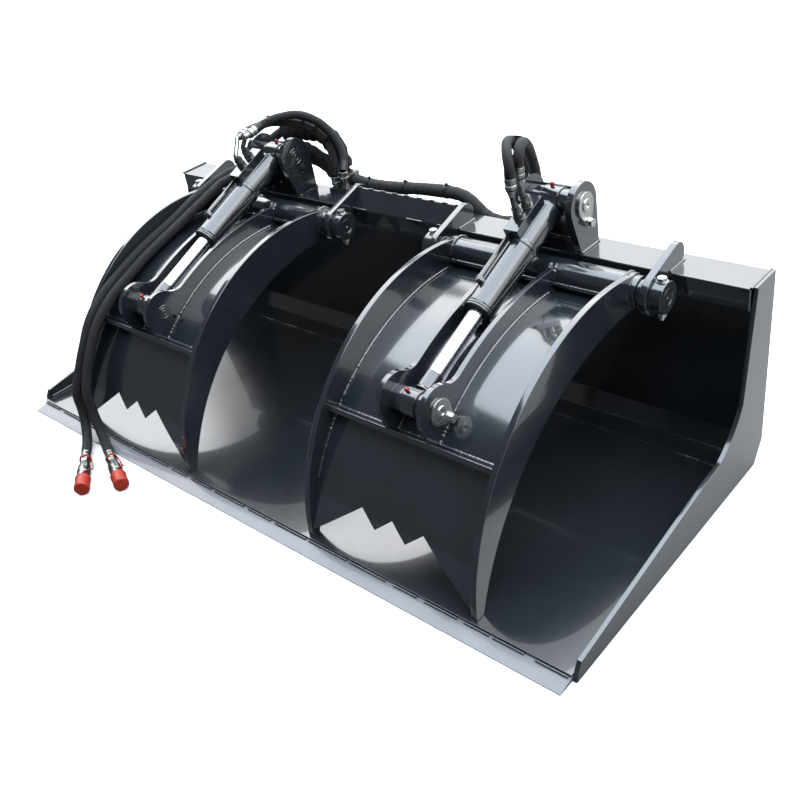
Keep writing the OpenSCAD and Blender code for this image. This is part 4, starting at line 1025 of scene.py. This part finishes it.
def fitting_welds():
    """Seams of the brackets and towers on the rail, of the grapples and of the cylinders."""
    seams = []
    for side, cx, _ in SIDES:
        for s in (-1, 1):
            for x in (BRACKET_IN, BRACKET_OUT):
                seams.append(seam(cx + s * x, [(713, 461), (776, 461)]))
            seams.append(x_seam(712, 452, cx + s * 266, cx + s * 283))
            for x in (TOWER_IN, TOWER_IN + TOWER_T):
                seams.append(seam(cx + s * x, [(716, RAIL_TOP), (786, RAIL_TOP)]))
            seams.append(x_seam(715, RAIL_TOP, cx + s * TOWER_IN, cx + s * (TOWER_IN + TOWER_T)))
        seams.append(x_seam(773, RAIL_TOP, cx + 1 - TOWER_IN, cx - 1 + TOWER_IN))
    beads("rail_fitting_welds", seams, "bucket", 7.0, seed=200)
    for side, cx, _ in SIDES:
        seams = []
        for s in (-1, 1):
            seams.append(seam(cx + s * ARM_OUT, arc(SKIN_C, 539.0, 84, 150, 60)))
            seams.append(seam(cx + s * ARM_OUT, arc(SKIN_C, 531.5, 86, 158, 60)))
            for x in (47, 61):
                seams.append(seam(cx + s * x, arc(SKIN_C, 539.0, 84.5, 132.5, 44)))
                seams.append(seam(cx + s * x, arc(HINGE, 35.8, 175, 118, 12)))
            seams.append(seam(cx + s * 220.8, arc(HINGE, 36.0, 170, -100, 40)))
        for y, z in ((191.8, 265.9), (200.8, 275.9), (619.4, 433)):
            seams.append(x_seam(y, z, cx - 220, cx + 220))
        beads("grapple_welds_" + side, seams, "grapple_" + side, 7.5, seed=300)
        bm = bmesh.new()
        base = at(cx, *BASE_PIN)
        turns = [2 * math.pi * k / 40 for k in range(41)]
        ring = [base + (29.5 * CYL_AXIS + 24.5 * (math.cos(t) * ACROSS
                        + math.sin(t) * CYL_UP)) * MM for t in turns]
        bead_into(bm, ring, 6.0, seed=9)
        x0, x1, s0, s1, n = -25, 11, 42, 147, 30.5
        for x in (x0, x1):
            bead_into(bm, [on_cylinder(cx, x, n, s) for s in (s0, s1)], 5.0, seed=11)
        for s in (s0, s1):
            bead_into(bm, [on_cylinder(cx, x, n, s) for x in (x0, 0.5 * (x0 + x1), x1)], 5.0,
                      seed=12)
        made("cylinder_welds_" + side, bm, 70, "cylinder_" + side, weld_paint)


shell_welds()
fitting_welds()


# ---------------------------------------------------------------- studio
def band(w, value, low, high):
    """0 at low, 1 at high, smooth between."""
    n = w.add("MapRange", {"interpolation_type": "SMOOTHSTEP"}, Value=value, From_Min=low,
              From_Max=high)
    return n.outputs[0]


DOME = 5.0                  # the dome's strength


def studio_floor():
    """Pale floor. It shows white, and its mirror image in the gloss paint is held back."""
    bm = bmesh.new()
    bmesh.ops.create_grid(bm, x_segments=1, y_segments=1, size=12)
    floor = bpy.data.objects.new("studio_floor", from_bmesh("studio_floor", bm))
    floor.location = (0, 0, -0.0005)
    mat, w, bsdf = start_finish("pale_floor")
    place = own_place(w)
    x, y, _ = w.add("SeparateXYZ", Vector=place).outputs
    far = band(w, w.math("ADD", x, w.math("MULTIPLY", y, 0.8)), 0.2, 1.2)
    seen = w.add("LightPath").outputs["Is Camera Ray"]
    held = w.mix(far, (0.030, 0.030, 0.034, 1), (0.20, 0.198, 0.19, 1))
    tone = w.noise(place, 1.4, 2.0, 0.5)
    shown = w.mix(tone, (0.84, 0.84, 0.84, 1), (0.88, 0.88, 0.88, 1))
    w.feed(bsdf, Base_Color=w.mix(seen, held, shown), Roughness=0.7)
    floor.data.materials.append(mat)
    bpy.context.scene.collection.objects.link(floor)


def studio_dome():
    """Soft bright dome, white to the camera. A dark screen stands in front, a dark patch at the
    back left, and the light fades towards the ground."""
    world = bpy.data.worlds.new("studio")
    bpy.context.scene.world = world
    world.use_nodes = True
    w = Wires(world.node_tree)
    x, y, z = w.add("SeparateXYZ", Vector=w.add("TexCoord").outputs["Generated"]).outputs
    ahead = w.math("MULTIPLY_ADD", y, -1.0, w.math("MULTIPLY", x, -0.15))
    screen = w.math("MULTIPLY", band(w, ahead, 0.04, 0.20),
                    w.math("MULTIPLY_ADD", ahead, 0.28, 0.61))
    sky = band(w, w.math("SUBTRACT", z, w.math("ADD", screen, 0.08)), 0.0, 0.035)
    turn = w.math("DIVIDE", y, w.math("MAXIMUM", w.math("MULTIPLY", x, -1.0), 0.05))
    wall = w.math("MULTIPLY", band(w, turn, 0.52, 0.62), band(w, turn, 1.15, 0.98))
    wall = w.math("MULTIPLY", wall, w.math("MULTIPLY", band(w, z, 0.40, 0.50),
                                           band(w, z, 0.63, 0.57)))
    low = w.math("MULTIPLY_ADD", band(w, z, 0.42, 0.60), 0.45, 0.55)
    low = w.math("MULTIPLY", low, w.math("MULTIPLY_ADD", band(w, z, 0.28, 0.42), 0.34, 0.66))
    level = w.math("MULTIPLY", w.math("MULTIPLY", sky, low),
                   w.math("MULTIPLY_ADD", wall, -0.88, 1.0))
    level = w.math("MULTIPLY_ADD", level, DOME, 0.12)
    seen = w.add("LightPath").outputs["Is Camera Ray"]
    blue = w.mix(band(w, z, 0.70, 0.84), (0.96, 0.98, 1.0, 1), (0.80, 0.89, 1.0, 1))
    lit = w.math("MULTIPLY", level, w.math("SUBTRACT", 1.0, seen))
    w.feed(world.node_tree.nodes["Background"], Color=w.mix(seen, blue, (1, 1, 1, 1)),
           Strength=w.math("ADD", lit, seen))


studio_floor()
studio_dome()
bpy.context.scene.view_settings.view_transform = "Standard"
